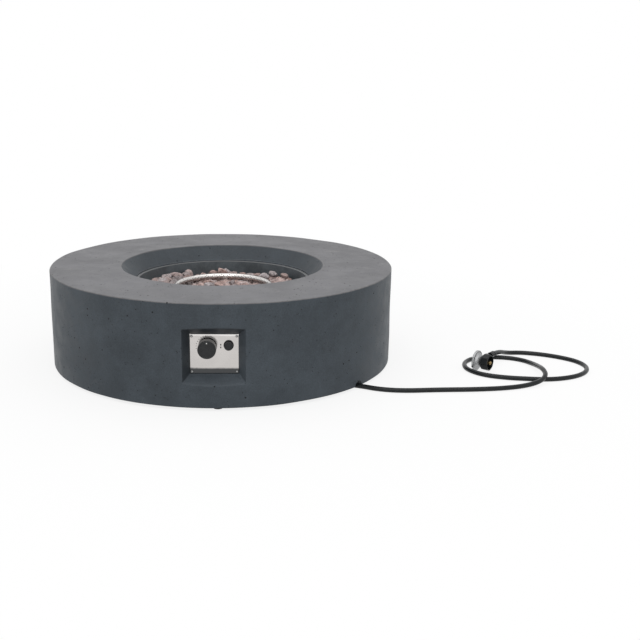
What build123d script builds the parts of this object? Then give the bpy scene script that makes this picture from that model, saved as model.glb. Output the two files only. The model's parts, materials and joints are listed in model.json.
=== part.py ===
from build123d import *

import math
import os
import random

# Round cast-concrete gas fire pit: drum, burner pan with lava stones, control panel, hose and regulator.
# Millimetres, +Z up. The origin is on the floor under the drum's centre, and the control panel faces -Y.
# An azimuth is counted from -Y towards +X.

# Drum
BODY_DIAMETER = 1066.8
OVERALL_HEIGHT = 305.0
FOOT_SHOWING = 8.0
WALL_AT_BASE = 26.0
WALL_AT_TOP = 34.0
SLAB_THICKNESS = 36.0
ARRIS = 3.0
INNER_CORNER = 18.0

# Bowl, and the ledge at its foot
OPENING_DIAMETER = 636.0
LEDGE_DEPTH = 50.5
LEDGE_STEP = 6.5
THROAT_DEPTH = 28.0
BOWL_WALL = 26.0
BOWL_UNDERCUT = 30.0

# Burner pan
PAN_DIAMETER = 536.0
PAN_DEPTH = 61.0
PAN_SHEET = 1.5
PAN_RIM_WIDTH = 7.5
PAN_BEND = 6.0
PAN_CLEARANCE = 1.0
RIM_CLEARANCE = 0.5
DRAIN_DIAMETER = 8.0
DRAIN_COUNT = 6
DRAIN_CIRCLE = 400.0

# Burner ring and what carries it
RING_DIAMETER = 300.0
RING_TUBE = 16.0
RING_WALL = 1.2
RING_TOP_BELOW_RIM = 69.0
PORT_DIAMETER = 2.6
PORT_COUNT = 36
PORT_TILT = 45.0
BRACKET_AZIMUTHS = (60.0, 180.0, 300.0)
BRACKET_WIDTH = 14.0
BRACKET_SHEET = 1.5
BRACKET_FOOT = 24.0
CRADLE_CLEARANCE = 0.6
BOLT_DIAMETER = 5.0
BOLT_LENGTH = 14.0
BOLT_FLATS = 8.0
BOLT_HEAD = 3.0
BOLT_NUT = 4.0
BOLT_CLEARANCE = 0.2

# Burner feed, on a vertical line under the front of the ring
INLET_DIAMETER = 14.0
INLET_BORE = 11.0
INLET_LENGTH = 68.0
LOCKNUT_FLATS = 24.0
LOCKNUT_HEIGHT = 6.0
MIXER_DIAMETER = 24.0
MIXER_LENGTH = 58.0
MIXER_CHAMBER = 16.0
MIXER_SOCKET = 16.0
MIXER_FLOOR = 12.0
MIXER_WINDOW = 9.0
MIXER_WINDOW_HEIGHT = 16.0
JET_THREAD = 10.0
JET_NOSE = 4.0
JET_FLATS = 17.0
JET_HEX_HEIGHT = 12.0
SPIGOT_DIAMETER = 14.0
SPIGOT_BORE = 6.0
SPIGOT_LENGTH = 16.0
JET_ORIFICE = 1.6
SUPPLY_DIAMETER = 9.5
SUPPLY_WALL = 1.2
SUPPLY_BEND = 24.0
SUPPLY_STRAIGHT = 55.0
SUPPLY_FALL = 110.0
SUPPLY_DROP = 40.0
SUPPLY_NUT_FLATS = 20.0
SUPPLY_NUT_LENGTH = 16.0
FIT_GAP = 0.1

# Spark electrode and flame probe, inside the ring
SPARK_AZIMUTH = 18.0
SPARK_RADIUS = 122.0
SPARK_SPACING = 14.0
SPARK_TAB_HEIGHT = 16.0
SPARK_BRACKET_WIDTH = 28.0
SPARK_BRACKET_DEPTH = 16.0
CERAMIC_DIAMETER = 6.4
CERAMIC_ABOVE = 12.0
COLLAR_WIDTH = 1.2
COLLAR_HEIGHT = 3.0
SPARK_ROD_DIAMETER = 2.0
SPARK_ROD_LENGTH = 14.0
PROBE_DIAMETER = 5.0
PROBE_ABOVE = 22.0
TAIL_BELOW_PAN = 13.0
SPARK_LEAD_DIAMETER = 3.0
PROBE_LEAD_DIAMETER = 2.4
LEAD_BEND = 10.0
LEAD_STRAIGHT = 38.0
SPARK_LEAD_SAG = 20.0
PROBE_LEAD_SAG = 30.0

# Lava stones
STONE_SPREAD = 19.2
STONE_GAP = 0.4
STONE_LEAST = 8.0
STONE_TALL = 2.25
STONE_LOW = 1.05
STONE_SHAPES = 9
STONE_SIDES = (5, 6, 7)
STONE_CORNER_PLAY = 0.25
STONE_HEIGHTS = (0.82, 1.0)
STONE_CUTS = 8
STONE_UPPER_TILTS = (25, 60)
STONE_LOWER_TILTS = (20, 45)
STONE_CUT_PLAY = 15
STONE_CUT_REACH = 0.9
STONE_CUT_DEPTHS = (0.7, 0.86)
GOLDEN_ANGLE = 137.508

# Control recess and plate
RECESS_DEPTH = 36.4
RECESS_WIDTH = 136.0
RECESS_HEIGHT = 114.0
RECESS_CENTRE = 154.0
RECESS_TAPER = 32.0
RECESS_CORNER = 2.0
PAD_THICKNESS = 19.0
PAD_MARGIN = 30.0
APERTURE_WIDTH = 100.0
APERTURE_HEIGHT = 62.0
APERTURE_X = 8.0
APERTURE_Y = 18.0
PLATE_SHEET = 1.5
PLATE_BEVEL = 1.0
PLATE_CLEARANCE = 0.5
SCREW_INSET = 6.0
SCREW_DIAMETER = 3.8
SCREW_LENGTH = 12.0
SCREW_HEAD_DIAMETER = 7.2
SCREW_HEAD = 2.2
SCREW_HEAD_ROUND = 1.1
SCREW_CLEARANCE = 0.2

# Gas valve and knob
KNOB_X = -18.6
KNOB_Y = 20.0
KNOB_DIAMETER = 51.0
KNOB_LENGTH = 26.0
KNOB_WALL = 3.0
KNOB_POCKET = 16.0
KNOB_HUB = 18.0
KNOB_HUB_RECESS = 3.0
KNOB_EDGE = 2.5
KNOB_RIM = 4.0
KNOB_DISH = 0.8
KNOB_FLUTES = 24
FLUTE_DIAMETER = 3.0
FLUTE_DEPTH = 0.75
KNOB_STANDOFF = 6.5
KNOB_TRAVEL = 5.0
MARKER_DIAMETER = 3.0
MARKER_DEPTH = 0.6
MARKER_INSET = 7.0
STEM_DIAMETER = 8.0
STEM_FLAT = 2.6
STEM_HOLE = 10.0
STEM_TAIL = 34.0
RUNNING_GAP = 0.05
BONNET_WIDTH = 24.0
BONNET_HEIGHT = 44.0
BONNET_THICKNESS = 10.0
VALVE_WIDTH = 34.0
VALVE_HEIGHT = 40.0
VALVE_LENGTH = 46.0
VALVE_EDGE = 3.0
PLUG_DIAMETER = 14.0
PLUG_LENGTH = 32.0
PLUG_END_GAP = 1.0
PLUG_FLOOR = 4.0
VALVE_SCREW_SPACING = 32.0
HOSE_SPIGOT_DIAMETER = 16.0
HOSE_SPIGOT_LENGTH = 14.0
HOSE_NUT_FLATS = 24.0
HOSE_NUT_LENGTH = 24.0
PROBE_PORT_X = 10.0
PROBE_PORT_Y = 10.0
SPRING_WIRE = 1.0
KNOB_SPRING_DIAMETER = 13.0
KNOB_SPRING_TURNS = 2.5

# Igniter
IGNITER_X = 39.3
IGNITER_Y = 25.0
COLLAR_DIAMETER = 28.0
COLLAR_THICKNESS = 3.5
COLLAR_CHAMFER = 1.2
BARREL_DIAMETER = 22.0
BARREL_LENGTH = 75.0
BUTTON_STEM = 18.0
BUTTON_STEM_LENGTH = 16.0
BUTTON_DIAMETER = 24.4
BUTTON_CAP = 6.0
BUTTON_EDGE = 2.0
BUTTON_TRAVEL_GAP = 4.5
IGNITER_NUT_FLATS = 30.0
IGNITER_NUT = 8.0
BUTTON_SPRING_LENGTH = 8.0
BUTTON_SPRING_DIAMETER = 16.0
BUTTON_SPRING_TURNS = 2.5
BATTERY_DIAMETER = 14.4
BATTERY_LENGTH = 50.0
BATTERY_GAP = 0.3
BARREL_FLOOR = 3.0

# Feet
FOOT_COUNT = 4
FOOT_TURN = 1.0
FOOT_INSET = 30.4
FOOT_DIAMETER = 30.0
FOOT_EDGE = 2.5
STUD_DIAMETER = 8.0
STUD_LENGTH = 30.0
STUD_SEAT = 4.0
INSERT_DIAMETER = 14.0
INSERT_LENGTH = 28.0
BOSS_DIAMETER = 44.0
BOSS_HEIGHT = 40.0

# Hose and the notch it leaves by
HOSE_DIAMETER = 14.5
HOSE_LIFT = 0.3
HOSE_STRAIGHT = 54.0
HOSE_ARC_SHARE = 0.45
NOTCH_AZIMUTH = 50.5
NOTCH_WIDTH = 34.0
NOTCH_HEIGHT = 25.0
HUMP = 26.0

# Regulator: stands on its rim, with the nut's axis level
REGULATOR_X = 797.0
REGULATOR_Y = -159.0
NUT_HEADING = -38.0
DISC_DIAMETER = 63.0
FLANGE_THICKNESS = 4.0
COVER_FLANGE = 3.0
COVER_DOME_DIAMETER = 52.0
COVER_DOME_HEIGHT = 9.0
COVER_TOP_DIAMETER = 38.0
BODY_DOME_DIAMETER = 50.0
BODY_DOME_HEIGHT = 10.0
NECK_DIAMETER = 18.0
NECK_LENGTH = 12.0
OUTLET_BOSS = 16.0
OUTLET_REACH = 46.0
OUTLET_OFFSET = 6.0
COVER_SCREW_COUNT = 6
COVER_SCREW_CIRCLE = 57.4
COVER_SCREW_DIAMETER = 3.0
COVER_SCREW_HEAD = 5.0
COVER_SCREW_HEAD_HEIGHT = 1.6
VENT_DIAMETER = 9.0
VENT_HEIGHT = 3.0
NUT_DIAMETER = 51.0
NUT_LENGTH = 28.0
NUT_WEB = 4.0
NUT_SOCKET = 34.0
NUT_BACK_GAP = 4.0
NUT_LOBES = 8
NUT_SCALLOP = 30.0
NUT_SCALLOP_DEPTH = 1.6
NUT_EDGE = 2.0
NIPPLE_DIAMETER = 12.0
NIPPLE_ROUND = 4.0
NIPPLE_FLANGE = 24.0
NIPPLE_FLANGE_THICKNESS = 3.0
NIPPLE_PROUD = 4.0
SEAL_WIRE = 2.4
SEAL_SETBACK = 10.0
OUTLET_FLATS = 19.0
OUTLET_HEX = 12.0
OUTLET_SPIGOT = 9.0
OUTLET_SPIGOT_LENGTH = 18.0
FERRULE_DIAMETER = 18.6
FERRULE_LENGTH = 23.0
FERRULE_END = 2.0

# Values worked out from the sizes above
BODY_RADIUS = BODY_DIAMETER / 2
FOOT_CIRCLE = BODY_DIAMETER - 2 * FOOT_INSET
BASE_Z = FOOT_SHOWING
LEDGE_Z = OVERALL_HEIGHT - LEDGE_DEPTH
SLAB_Z = OVERALL_HEIGHT - SLAB_THICKNESS
PAN_RADIUS = PAN_DIAMETER / 2
PAN_TOP_Z = LEDGE_Z + PAN_SHEET
PAN_FLOOR_Z = PAN_TOP_Z - PAN_DEPTH
PAN_UNDER_Z = PAN_FLOOR_Z - PAN_SHEET
RING_RADIUS = RING_DIAMETER / 2
RING_Z = OVERALL_HEIGHT - RING_TOP_BELOW_RIM - RING_TUBE / 2
INLET_BOTTOM_Z = RING_Z - RING_TUBE / 2 - INLET_LENGTH
MIXER_TOP_Z = INLET_BOTTOM_Z + MIXER_SOCKET
MIXER_BOTTOM_Z = MIXER_TOP_Z - MIXER_LENGTH
JET_HEX_Z = MIXER_BOTTOM_Z - JET_HEX_HEIGHT
JET_END_Z = JET_HEX_Z - SPIGOT_LENGTH
SPARK_TAB_Z = PAN_FLOOR_Z + SPARK_TAB_HEIGHT
PLATE_WIDTH = RECESS_WIDTH - 2 * PLATE_CLEARANCE
PLATE_HEIGHT = RECESS_HEIGHT - 2 * PLATE_CLEARANCE
VALVE_BACK = -BONNET_THICKNESS - VALVE_LENGTH
PLUG_SETBACK = KNOB_TRAVEL + PLUG_END_GAP
KNOB_BACK = PLATE_SHEET + KNOB_STANDOFF
COLLAR_FRONT = PLATE_SHEET + COLLAR_THICKNESS
BUTTON_SHOULDER = COLLAR_FRONT - BUTTON_STEM_LENGTH
HOSE_RADIUS = HOSE_DIAMETER / 2
HOSE_Z = HOSE_RADIUS + HOSE_LIFT
DISC_RADIUS = DISC_DIAMETER / 2
NUT_BACK = FLANGE_THICKNESS / 2 + BODY_DOME_HEIGHT + NUT_BACK_GAP
NECK_END = FLANGE_THICKNESS / 2 + BODY_DOME_HEIGHT + NECK_LENGTH
NUT_FRONT = NUT_BACK + NUT_LENGTH
FERRULE_START = OUTLET_REACH + OUTLET_HEX + OUTLET_SPIGOT_LENGTH - FERRULE_END
HOSE_END = OUTLET_REACH + OUTLET_HEX + OUTLET_SPIGOT_LENGTH

# The panel frame: x to the right, y up and z out of the recess, with z = 0 on the recess floor
PANEL = Plane(origin=(0, RECESS_DEPTH - BODY_RADIUS, RECESS_CENTRE), x_dir=(1, 0, 0), z_dir=(0, -1, 0))
# The regulator frame: x along the hose outlet, y up and z along the nut's axis
NUT_AXIS = Vector(math.cos(math.radians(NUT_HEADING)), math.sin(math.radians(NUT_HEADING)), 0)
OUTLET_AXIS = Vector(-NUT_AXIS.Y, NUT_AXIS.X, 0)
REGULATOR = Plane(
    origin=(REGULATOR_X, REGULATOR_Y, DISC_RADIUS + HOSE_LIFT), x_dir=OUTLET_AXIS, z_dir=NUT_AXIS
)


def turned(points):
    """A solid of revolution about Z from a closed outline of (radius, height) points."""
    return revolve(make_face(Polyline(*[(r, 0, z) for r, z in points], close=True)), Axis.Z)


def rod(diameter, low, high):
    """A cylinder on Z between two heights."""
    return Pos(0, 0, low) * extrude(Circle(diameter / 2), high - low)


def hexagon(flats, low, high):
    """A hexagonal bar on Z between two heights, given across flats."""
    return Pos(0, 0, low) * extrude(RegularPolygon(flats / 2, 6, major_radius=False), high - low)


def around(azimuth, part):
    """A part made at azimuth 0, in front of the drum's centre, carried round to another azimuth."""
    return Rot(0, 0, azimuth) * part


def on_panel(x, y, part):
    """A part made on Z, placed on the panel frame."""
    return PANEL.location * Pos(x, y, 0) * part


def tube_along(points, diameter, bore, bends):
    """A round tube along straight runs joined by tangent arcs."""
    path = FilletPolyline(*points, radius=bends)
    start = Plane(origin=path @ 0, z_dir=path % 0)
    tube = sweep(start * Circle(diameter / 2), path=path)
    if bore:
        tube -= sweep(start * Circle(bore / 2), path=path)
    return tube


def coil_spring(diameter, length, turns):
    """A round-wire compression spring standing on Z = 0, between two flat seats."""
    rise = length - SPRING_WIRE - 2 * FIT_GAP
    path = Pos(0, 0, SPRING_WIRE / 2 + FIT_GAP) * Helix(rise / turns, rise, diameter / 2)
    start = Plane(origin=path @ 0, z_dir=path % 0)
    return sweep(start * Circle(SPRING_WIRE / 2), path=path, is_frenet=True)


def solids_of(shape):
    """The solids in a shape or in a list of shapes."""
    if isinstance(shape, list):
        return [solid for item in shape for solid in solids_of(item)]
    return list(shape.solids())


# Drum


def foot_places():
    """Where each foot stands: the first under the control panel, then evenly round."""
    turns = [FOOT_TURN + i * 360 / FOOT_COUNT for i in range(FOOT_COUNT)]
    return [around(turn, Pos(0, -FOOT_CIRCLE / 2, 0)) for turn in turns]


def drum_blank():
    """The drum without its openings: outer wall, top slab, bowl and throat, as one turned profile."""
    seat = PAN_RADIUS + PAN_RIM_WIDTH + RIM_CLEARANCE
    throat = PAN_RADIUS + PAN_CLEARANCE
    opening = OPENING_DIAMETER / 2
    blank = turned(
        [
            (BODY_RADIUS, BASE_Z),
            (BODY_RADIUS, OVERALL_HEIGHT),
            (opening, OVERALL_HEIGHT),
            (seat, LEDGE_Z + LEDGE_STEP),
            (seat, LEDGE_Z),
            (throat, LEDGE_Z),
            (throat, LEDGE_Z - THROAT_DEPTH),
            (throat + BOWL_WALL, LEDGE_Z - THROAT_DEPTH),
            (opening + BOWL_UNDERCUT, SLAB_Z),
            (BODY_RADIUS - WALL_AT_TOP, SLAB_Z),
            (BODY_RADIUS - WALL_AT_BASE, BASE_Z),
        ]
    )
    circles = blank.edges().filter_by(GeomType.CIRCLE)
    outer_rims = circles.filter_by(lambda edge: abs(edge.radius - BODY_RADIUS) < FIT_GAP)
    bowl_rim = circles.filter_by(lambda edge: abs(edge.radius - opening) < FIT_GAP)
    blank = fillet(outer_rims + bowl_rim, ARRIS)
    inner_corner = blank.edges().filter_by(GeomType.CIRCLE).filter_by(
        lambda edge: abs(edge.radius - BODY_RADIUS + WALL_AT_TOP) < FIT_GAP
    )
    return fillet(inner_corner, INNER_CORNER)


def recess_tool():
    """The tapered recess for the control plate, from its floor out through the drum's face."""
    reach = RECESS_DEPTH + PAD_THICKNESS
    spread = 2 * reach * math.tan(math.radians(RECESS_TAPER))
    floor = RectangleRounded(RECESS_WIDTH, RECESS_HEIGHT, RECESS_CORNER)
    mouth = RectangleRounded(RECESS_WIDTH + spread, RECESS_HEIGHT + spread, RECESS_CORNER)
    return loft([floor, Pos(0, 0, reach) * mouth], ruled=True)


def notch_tool():
    """The arched notch in the foot of the wall that the hose passes through."""
    arch = NOTCH_WIDTH / 2
    spring_line = NOTCH_HEIGHT - arch
    outline = Pos(0, spring_line) * Circle(arch)
    outline += Pos(0, spring_line / 2) * Rectangle(NOTCH_WIDTH, spring_line)
    depth = 2 * WALL_AT_TOP
    start = Plane(origin=(0, depth / 2 - BODY_RADIUS, 0), x_dir=(1, 0, 0), z_dir=(0, -1, 0))
    return around(NOTCH_AZIMUTH, extrude(start * outline, depth))


def screw_places():
    """The four corner screws of the control plate, in the panel frame."""
    x = PLATE_WIDTH / 2 - SCREW_INSET
    y = PLATE_HEIGHT / 2 - SCREW_INSET
    return [(sx * x, sy * y) for sx in (-1, 1) for sy in (-1, 1)]


def table_body():
    body = drum_blank()
    pad = extrude(
        Rectangle(RECESS_WIDTH + 2 * PAD_MARGIN, RECESS_HEIGHT + 2 * PAD_MARGIN),
        PAD_THICKNESS + WALL_AT_BASE / 2,
    )
    body += PANEL.location * Pos(0, 0, -PAD_THICKNESS) * pad
    for place in foot_places():
        body += place * rod(BOSS_DIAMETER, BASE_Z, BASE_Z + BOSS_HEIGHT)
    body -= PANEL.location * recess_tool()
    aperture = extrude(Rectangle(APERTURE_WIDTH, APERTURE_HEIGHT), 2 * PAD_THICKNESS)
    body -= on_panel(APERTURE_X, APERTURE_Y, Pos(0, 0, -2 * PAD_THICKNESS) * aperture)
    hole = SCREW_DIAMETER + 2 * SCREW_CLEARANCE
    for x, y in screw_places():
        body -= on_panel(x, y, rod(hole, -SCREW_LENGTH, PLATE_SHEET))
    for place in foot_places():
        body -= place * rod(INSERT_DIAMETER + 2 * FIT_GAP, 0, BASE_Z + INSERT_LENGTH + FIT_GAP)
    return body - notch_tool()


def foot_pads():
    pad = rod(FOOT_DIAMETER, 0, FOOT_SHOWING)
    pad = fillet(pad.edges().group_by(Axis.Z)[0], FOOT_EDGE)
    pad -= rod(STUD_DIAMETER + 2 * FIT_GAP, STUD_SEAT, FOOT_SHOWING)
    return [place * pad for place in foot_places()]


def foot_studs():
    stud = rod(STUD_DIAMETER, STUD_SEAT, STUD_SEAT + STUD_LENGTH)
    return [place * stud for place in foot_places()]


def foot_inserts():
    insert = rod(INSERT_DIAMETER, BASE_Z, BASE_Z + INSERT_LENGTH)
    insert -= rod(STUD_DIAMETER + 2 * FIT_GAP, BASE_Z, STUD_SEAT + STUD_LENGTH + FIT_GAP)
    return [place * insert for place in foot_places()]


# Burner


def bracket_bolt_radius():
    """How far from the centre the bracket bolts stand: the middle of each bracket's foot."""
    return RING_RADIUS - RING_TUBE / 2 - CRADLE_CLEARANCE - BRACKET_FOOT / 2


def spark_places():
    """The spark electrode and the flame probe, side by side in plan."""
    side = SPARK_SPACING / 2
    return [around(SPARK_AZIMUTH, Pos(offset, -SPARK_RADIUS, 0)) for offset in (-side, side)]


def burner_pan():
    inner = PAN_RADIUS - PAN_SHEET
    pan = turned(
        [
            (0, PAN_UNDER_Z),
            (PAN_RADIUS, PAN_UNDER_Z),
            (PAN_RADIUS, LEDGE_Z),
            (PAN_RADIUS + PAN_RIM_WIDTH, LEDGE_Z),
            (PAN_RADIUS + PAN_RIM_WIDTH, PAN_TOP_Z),
            (inner, PAN_TOP_Z),
            (inner, PAN_FLOOR_Z),
            (0, PAN_FLOOR_Z),
        ]
    )
    circles = pan.edges().filter_by(GeomType.CIRCLE)
    outer_bend = circles.filter_by(
        lambda edge: abs(edge.radius - PAN_RADIUS) < FIT_GAP and edge.center().Z < PAN_FLOOR_Z
    )
    pan = fillet(outer_bend, PAN_BEND)
    inner_bend = pan.edges().filter_by(GeomType.CIRCLE).filter_by(
        lambda edge: abs(edge.radius - inner) < FIT_GAP and abs(edge.center().Z - PAN_FLOOR_Z) < FIT_GAP
    )
    pan = fillet(inner_bend, PAN_BEND - PAN_SHEET)
    low, high = PAN_UNDER_Z - PAN_SHEET, PAN_FLOOR_Z + PAN_SHEET
    pan -= Pos(0, -RING_RADIUS, 0) * rod(INLET_DIAMETER + 2 * PAN_CLEARANCE, low, high)
    for place in spark_places():
        pan -= place * rod(CERAMIC_DIAMETER + 2 * PAN_CLEARANCE, low, high)
    for azimuth in BRACKET_AZIMUTHS:
        bolt_hole = rod(BOLT_DIAMETER + 2 * BOLT_CLEARANCE, low, high)
        pan -= around(azimuth, Pos(0, -bracket_bolt_radius(), 0) * bolt_hole)
    for index in range(DRAIN_COUNT):
        drain = Pos(0, -DRAIN_CIRCLE / 2, 0) * rod(DRAIN_DIAMETER, low, high)
        pan -= around((index + 0.5) * 360 / DRAIN_COUNT, drain)
    return pan


def burner_ring():
    section = Circle(RING_TUBE / 2) - Circle(RING_TUBE / 2 - RING_WALL)
    ring = revolve(Plane.XZ * Pos(RING_RADIUS, RING_Z) * section, Axis.Z)
    ring -= Pos(0, -RING_RADIUS, 0) * rod(INLET_BORE, RING_Z - RING_TUBE, RING_Z)
    port = Rot(PORT_TILT, 0, 0) * rod(PORT_DIAMETER, RING_TUBE / 2 - 2 * RING_WALL, RING_TUBE)
    port = Pos(0, RING_RADIUS, RING_Z) * port
    ring -= [around((i + 0.5) * 360 / PORT_COUNT, port) for i in range(PORT_COUNT)]
    return ring


def ring_brackets():
    """Folded strips that stand on the pan floor and cradle the ring."""
    inside = RING_RADIUS - RING_TUBE / 2 - CRADLE_CLEARANCE
    outside = RING_RADIUS + RING_TUBE / 2 + CRADLE_CLEARANCE
    tab = RING_Z - RING_TUBE / 2 - FIT_GAP
    strip = BRACKET_SHEET
    outline = Polyline(
        (inside - BRACKET_FOOT, PAN_FLOOR_Z),
        (inside, PAN_FLOOR_Z),
        (inside, tab - strip),
        (outside + strip, tab - strip),
        (outside + strip, RING_Z),
        (outside, RING_Z),
        (outside, tab),
        (inside, tab),
        (inside, RING_Z),
        (inside - strip, RING_Z),
        (inside - strip, PAN_FLOOR_Z + strip),
        (inside - BRACKET_FOOT, PAN_FLOOR_Z + strip),
        close=True,
    )
    side = Plane(origin=(BRACKET_WIDTH / 2, 0, 0), x_dir=(0, -1, 0), z_dir=(-1, 0, 0))
    bracket = side.location * extrude(make_face(outline), BRACKET_WIDTH)
    bolt_hole = rod(BOLT_DIAMETER + 2 * BOLT_CLEARANCE, PAN_FLOOR_Z, PAN_FLOOR_Z + 2 * strip)
    bracket -= Pos(0, -bracket_bolt_radius(), 0) * bolt_hole
    return [around(azimuth, bracket) for azimuth in BRACKET_AZIMUTHS]


def bracket_bolts():
    seat = PAN_FLOOR_Z + BRACKET_SHEET
    bolt = rod(BOLT_DIAMETER, seat - BOLT_LENGTH, seat) + hexagon(BOLT_FLATS, seat, seat + BOLT_HEAD)
    nut = hexagon(BOLT_FLATS, PAN_UNDER_Z - BOLT_NUT, PAN_UNDER_Z)
    nut -= rod(BOLT_DIAMETER + 2 * BOLT_CLEARANCE, PAN_UNDER_Z - BOLT_NUT, PAN_UNDER_Z)
    place = Pos(0, -bracket_bolt_radius(), 0)
    return [around(azimuth, place * part) for azimuth in BRACKET_AZIMUTHS for part in (bolt, nut)]


def on_feed(part):
    """A part of the burner feed, on the vertical line under the front of the ring."""
    return Pos(0, -RING_RADIUS, 0) * part


def burner_inlet():
    pipe = on_feed(rod(INLET_DIAMETER, INLET_BOTTOM_Z, RING_Z))
    seat = Plane.XZ * Pos(RING_RADIUS, RING_Z) * Circle(RING_TUBE / 2 + RUNNING_GAP)
    pipe -= revolve(seat, Axis.Z)
    return pipe - on_feed(rod(INLET_BORE, INLET_BOTTOM_Z, RING_Z))


def inlet_locknuts():
    bore = INLET_DIAMETER + 2 * FIT_GAP
    above = hexagon(LOCKNUT_FLATS, PAN_FLOOR_Z, PAN_FLOOR_Z + LOCKNUT_HEIGHT)
    below = hexagon(LOCKNUT_FLATS, PAN_UNDER_Z - LOCKNUT_HEIGHT, PAN_UNDER_Z)
    cut = rod(bore, PAN_UNDER_Z - LOCKNUT_HEIGHT, PAN_FLOOR_Z + LOCKNUT_HEIGHT)
    return [on_feed(above - cut), on_feed(below - cut)]


def air_mixer():
    mixer = rod(MIXER_DIAMETER, MIXER_BOTTOM_Z, MIXER_TOP_Z)
    mixer -= rod(INLET_DIAMETER + 2 * FIT_GAP, INLET_BOTTOM_Z, MIXER_TOP_Z)
    chamber_floor = MIXER_BOTTOM_Z + MIXER_FLOOR
    mixer -= rod(MIXER_CHAMBER, chamber_floor, INLET_BOTTOM_Z)
    mixer -= rod(JET_THREAD + 2 * FIT_GAP, MIXER_BOTTOM_Z, chamber_floor)
    middle = (chamber_floor + INLET_BOTTOM_Z) / 2
    mixer -= Pos(0, 0, middle) * Box(2 * MIXER_DIAMETER, MIXER_WINDOW, MIXER_WINDOW_HEIGHT)
    return on_feed(mixer)


def gas_jet():
    nose = MIXER_BOTTOM_Z + MIXER_FLOOR + JET_NOSE
    jet = rod(JET_THREAD, MIXER_BOTTOM_Z, nose) + hexagon(JET_FLATS, JET_HEX_Z, MIXER_BOTTOM_Z)
    jet += rod(SPIGOT_DIAMETER, JET_END_Z, JET_HEX_Z)
    jet -= rod(SPIGOT_BORE, JET_END_Z, MIXER_BOTTOM_Z)
    return on_feed(jet - rod(JET_ORIFICE, MIXER_BOTTOM_Z, nose))


def supply_route():
    """From the valve's rear spigot, down under the pan and up into the jet."""
    valve_end = (PANEL.location * Pos(KNOB_X, KNOB_Y, VALVE_BACK - SPIGOT_LENGTH)).position
    jet_end = Vector(0, -RING_RADIUS, JET_END_Z)
    low = JET_END_Z - SUPPLY_DROP
    fall_start = valve_end.Y + SUPPLY_STRAIGHT
    return [
        valve_end,
        Vector(valve_end.X, fall_start, valve_end.Z),
        Vector((valve_end.X + jet_end.X) / 2, fall_start + SUPPLY_FALL, low),
        Vector(jet_end.X, jet_end.Y, low),
        jet_end,
    ]


def supply_tube():
    return tube_along(supply_route(), SUPPLY_DIAMETER, SUPPLY_DIAMETER - 2 * SUPPLY_WALL, SUPPLY_BEND)


def supply_nuts():
    """The flare nuts at the two ends of the supply tube, each half on the spigot and half on the tube."""
    half = SUPPLY_NUT_LENGTH / 2
    nut = hexagon(SUPPLY_NUT_FLATS, -half, half)
    nut -= rod(SPIGOT_DIAMETER + 2 * FIT_GAP, 0, half)
    nut -= rod(SUPPLY_DIAMETER + 2 * FIT_GAP, -half, 0)
    at_valve = on_panel(KNOB_X, KNOB_Y, Pos(0, 0, VALVE_BACK - SPIGOT_LENGTH) * nut)
    return [at_valve, on_feed(Pos(0, 0, JET_END_Z) * nut)]


def spark_bracket():
    """A folded tab on the pan floor that holds the electrode and the probe upright."""
    strip = BRACKET_SHEET
    depth = SPARK_BRACKET_DEPTH
    outline = Polyline(
        (0, 0),
        (depth, 0),
        (depth, strip),
        (strip, strip),
        (strip, SPARK_TAB_HEIGHT - strip),
        (depth, SPARK_TAB_HEIGHT - strip),
        (depth, SPARK_TAB_HEIGHT),
        (0, SPARK_TAB_HEIGHT),
        close=True,
    )
    back_corner = (SPARK_BRACKET_WIDTH / 2, depth / 2 - SPARK_RADIUS, PAN_FLOOR_Z)
    side = Plane(origin=back_corner, x_dir=(0, -1, 0), z_dir=(-1, 0, 0))
    channel = around(SPARK_AZIMUTH, side.location * extrude(make_face(outline), SPARK_BRACKET_WIDTH))
    for place, diameter in zip(spark_places(), (CERAMIC_DIAMETER, PROBE_DIAMETER)):
        channel -= place * rod(diameter + 2 * FIT_GAP, PAN_FLOOR_Z, SPARK_TAB_Z)
    return channel


def collared_rod(diameter, above):
    """A rod through the spark bracket, with a collar that rests on its tab and a tail under the pan."""
    body = rod(diameter, PAN_UNDER_Z - TAIL_BELOW_PAN, SPARK_TAB_Z + above)
    return body + rod(diameter + 2 * COLLAR_WIDTH, SPARK_TAB_Z, SPARK_TAB_Z + COLLAR_HEIGHT)


def spark_ceramic():
    return spark_places()[0] * collared_rod(CERAMIC_DIAMETER, CERAMIC_ABOVE)


def spark_rod():
    top = SPARK_TAB_Z + CERAMIC_ABOVE
    return spark_places()[0] * rod(SPARK_ROD_DIAMETER, top, top + SPARK_ROD_LENGTH)


def thermocouple():
    return spark_places()[1] * collared_rod(PROBE_DIAMETER, PROBE_ABOVE)


def lead_along(start, place, diameter, sag):
    """A lead from behind the panel, along under the pan and up to a tail under it."""
    end = place.position + Vector(0, 0, PAN_UNDER_Z - TAIL_BELOW_PAN)
    points = [
        start,
        Vector(start.X, start.Y + LEAD_STRAIGHT, start.Z),
        Vector((start.X + end.X) / 2, (start.Y + end.Y) / 2, end.Z - sag),
        Vector(end.X, end.Y, end.Z - sag),
        end,
    ]
    return tube_along(points, diameter, 0, LEAD_BEND)


def spark_lead():
    start = (PANEL.location * Pos(IGNITER_X, IGNITER_Y, COLLAR_FRONT - BARREL_LENGTH)).position
    return lead_along(start, spark_places()[0], SPARK_LEAD_DIAMETER, SPARK_LEAD_SAG)


def thermocouple_lead():
    start = (PANEL.location * Pos(KNOB_X + PROBE_PORT_X, KNOB_Y + PROBE_PORT_Y, VALVE_BACK)).position
    return lead_along(start, spark_places()[1], PROBE_LEAD_DIAMETER, PROBE_LEAD_SAG)


# Lava stones


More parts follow.
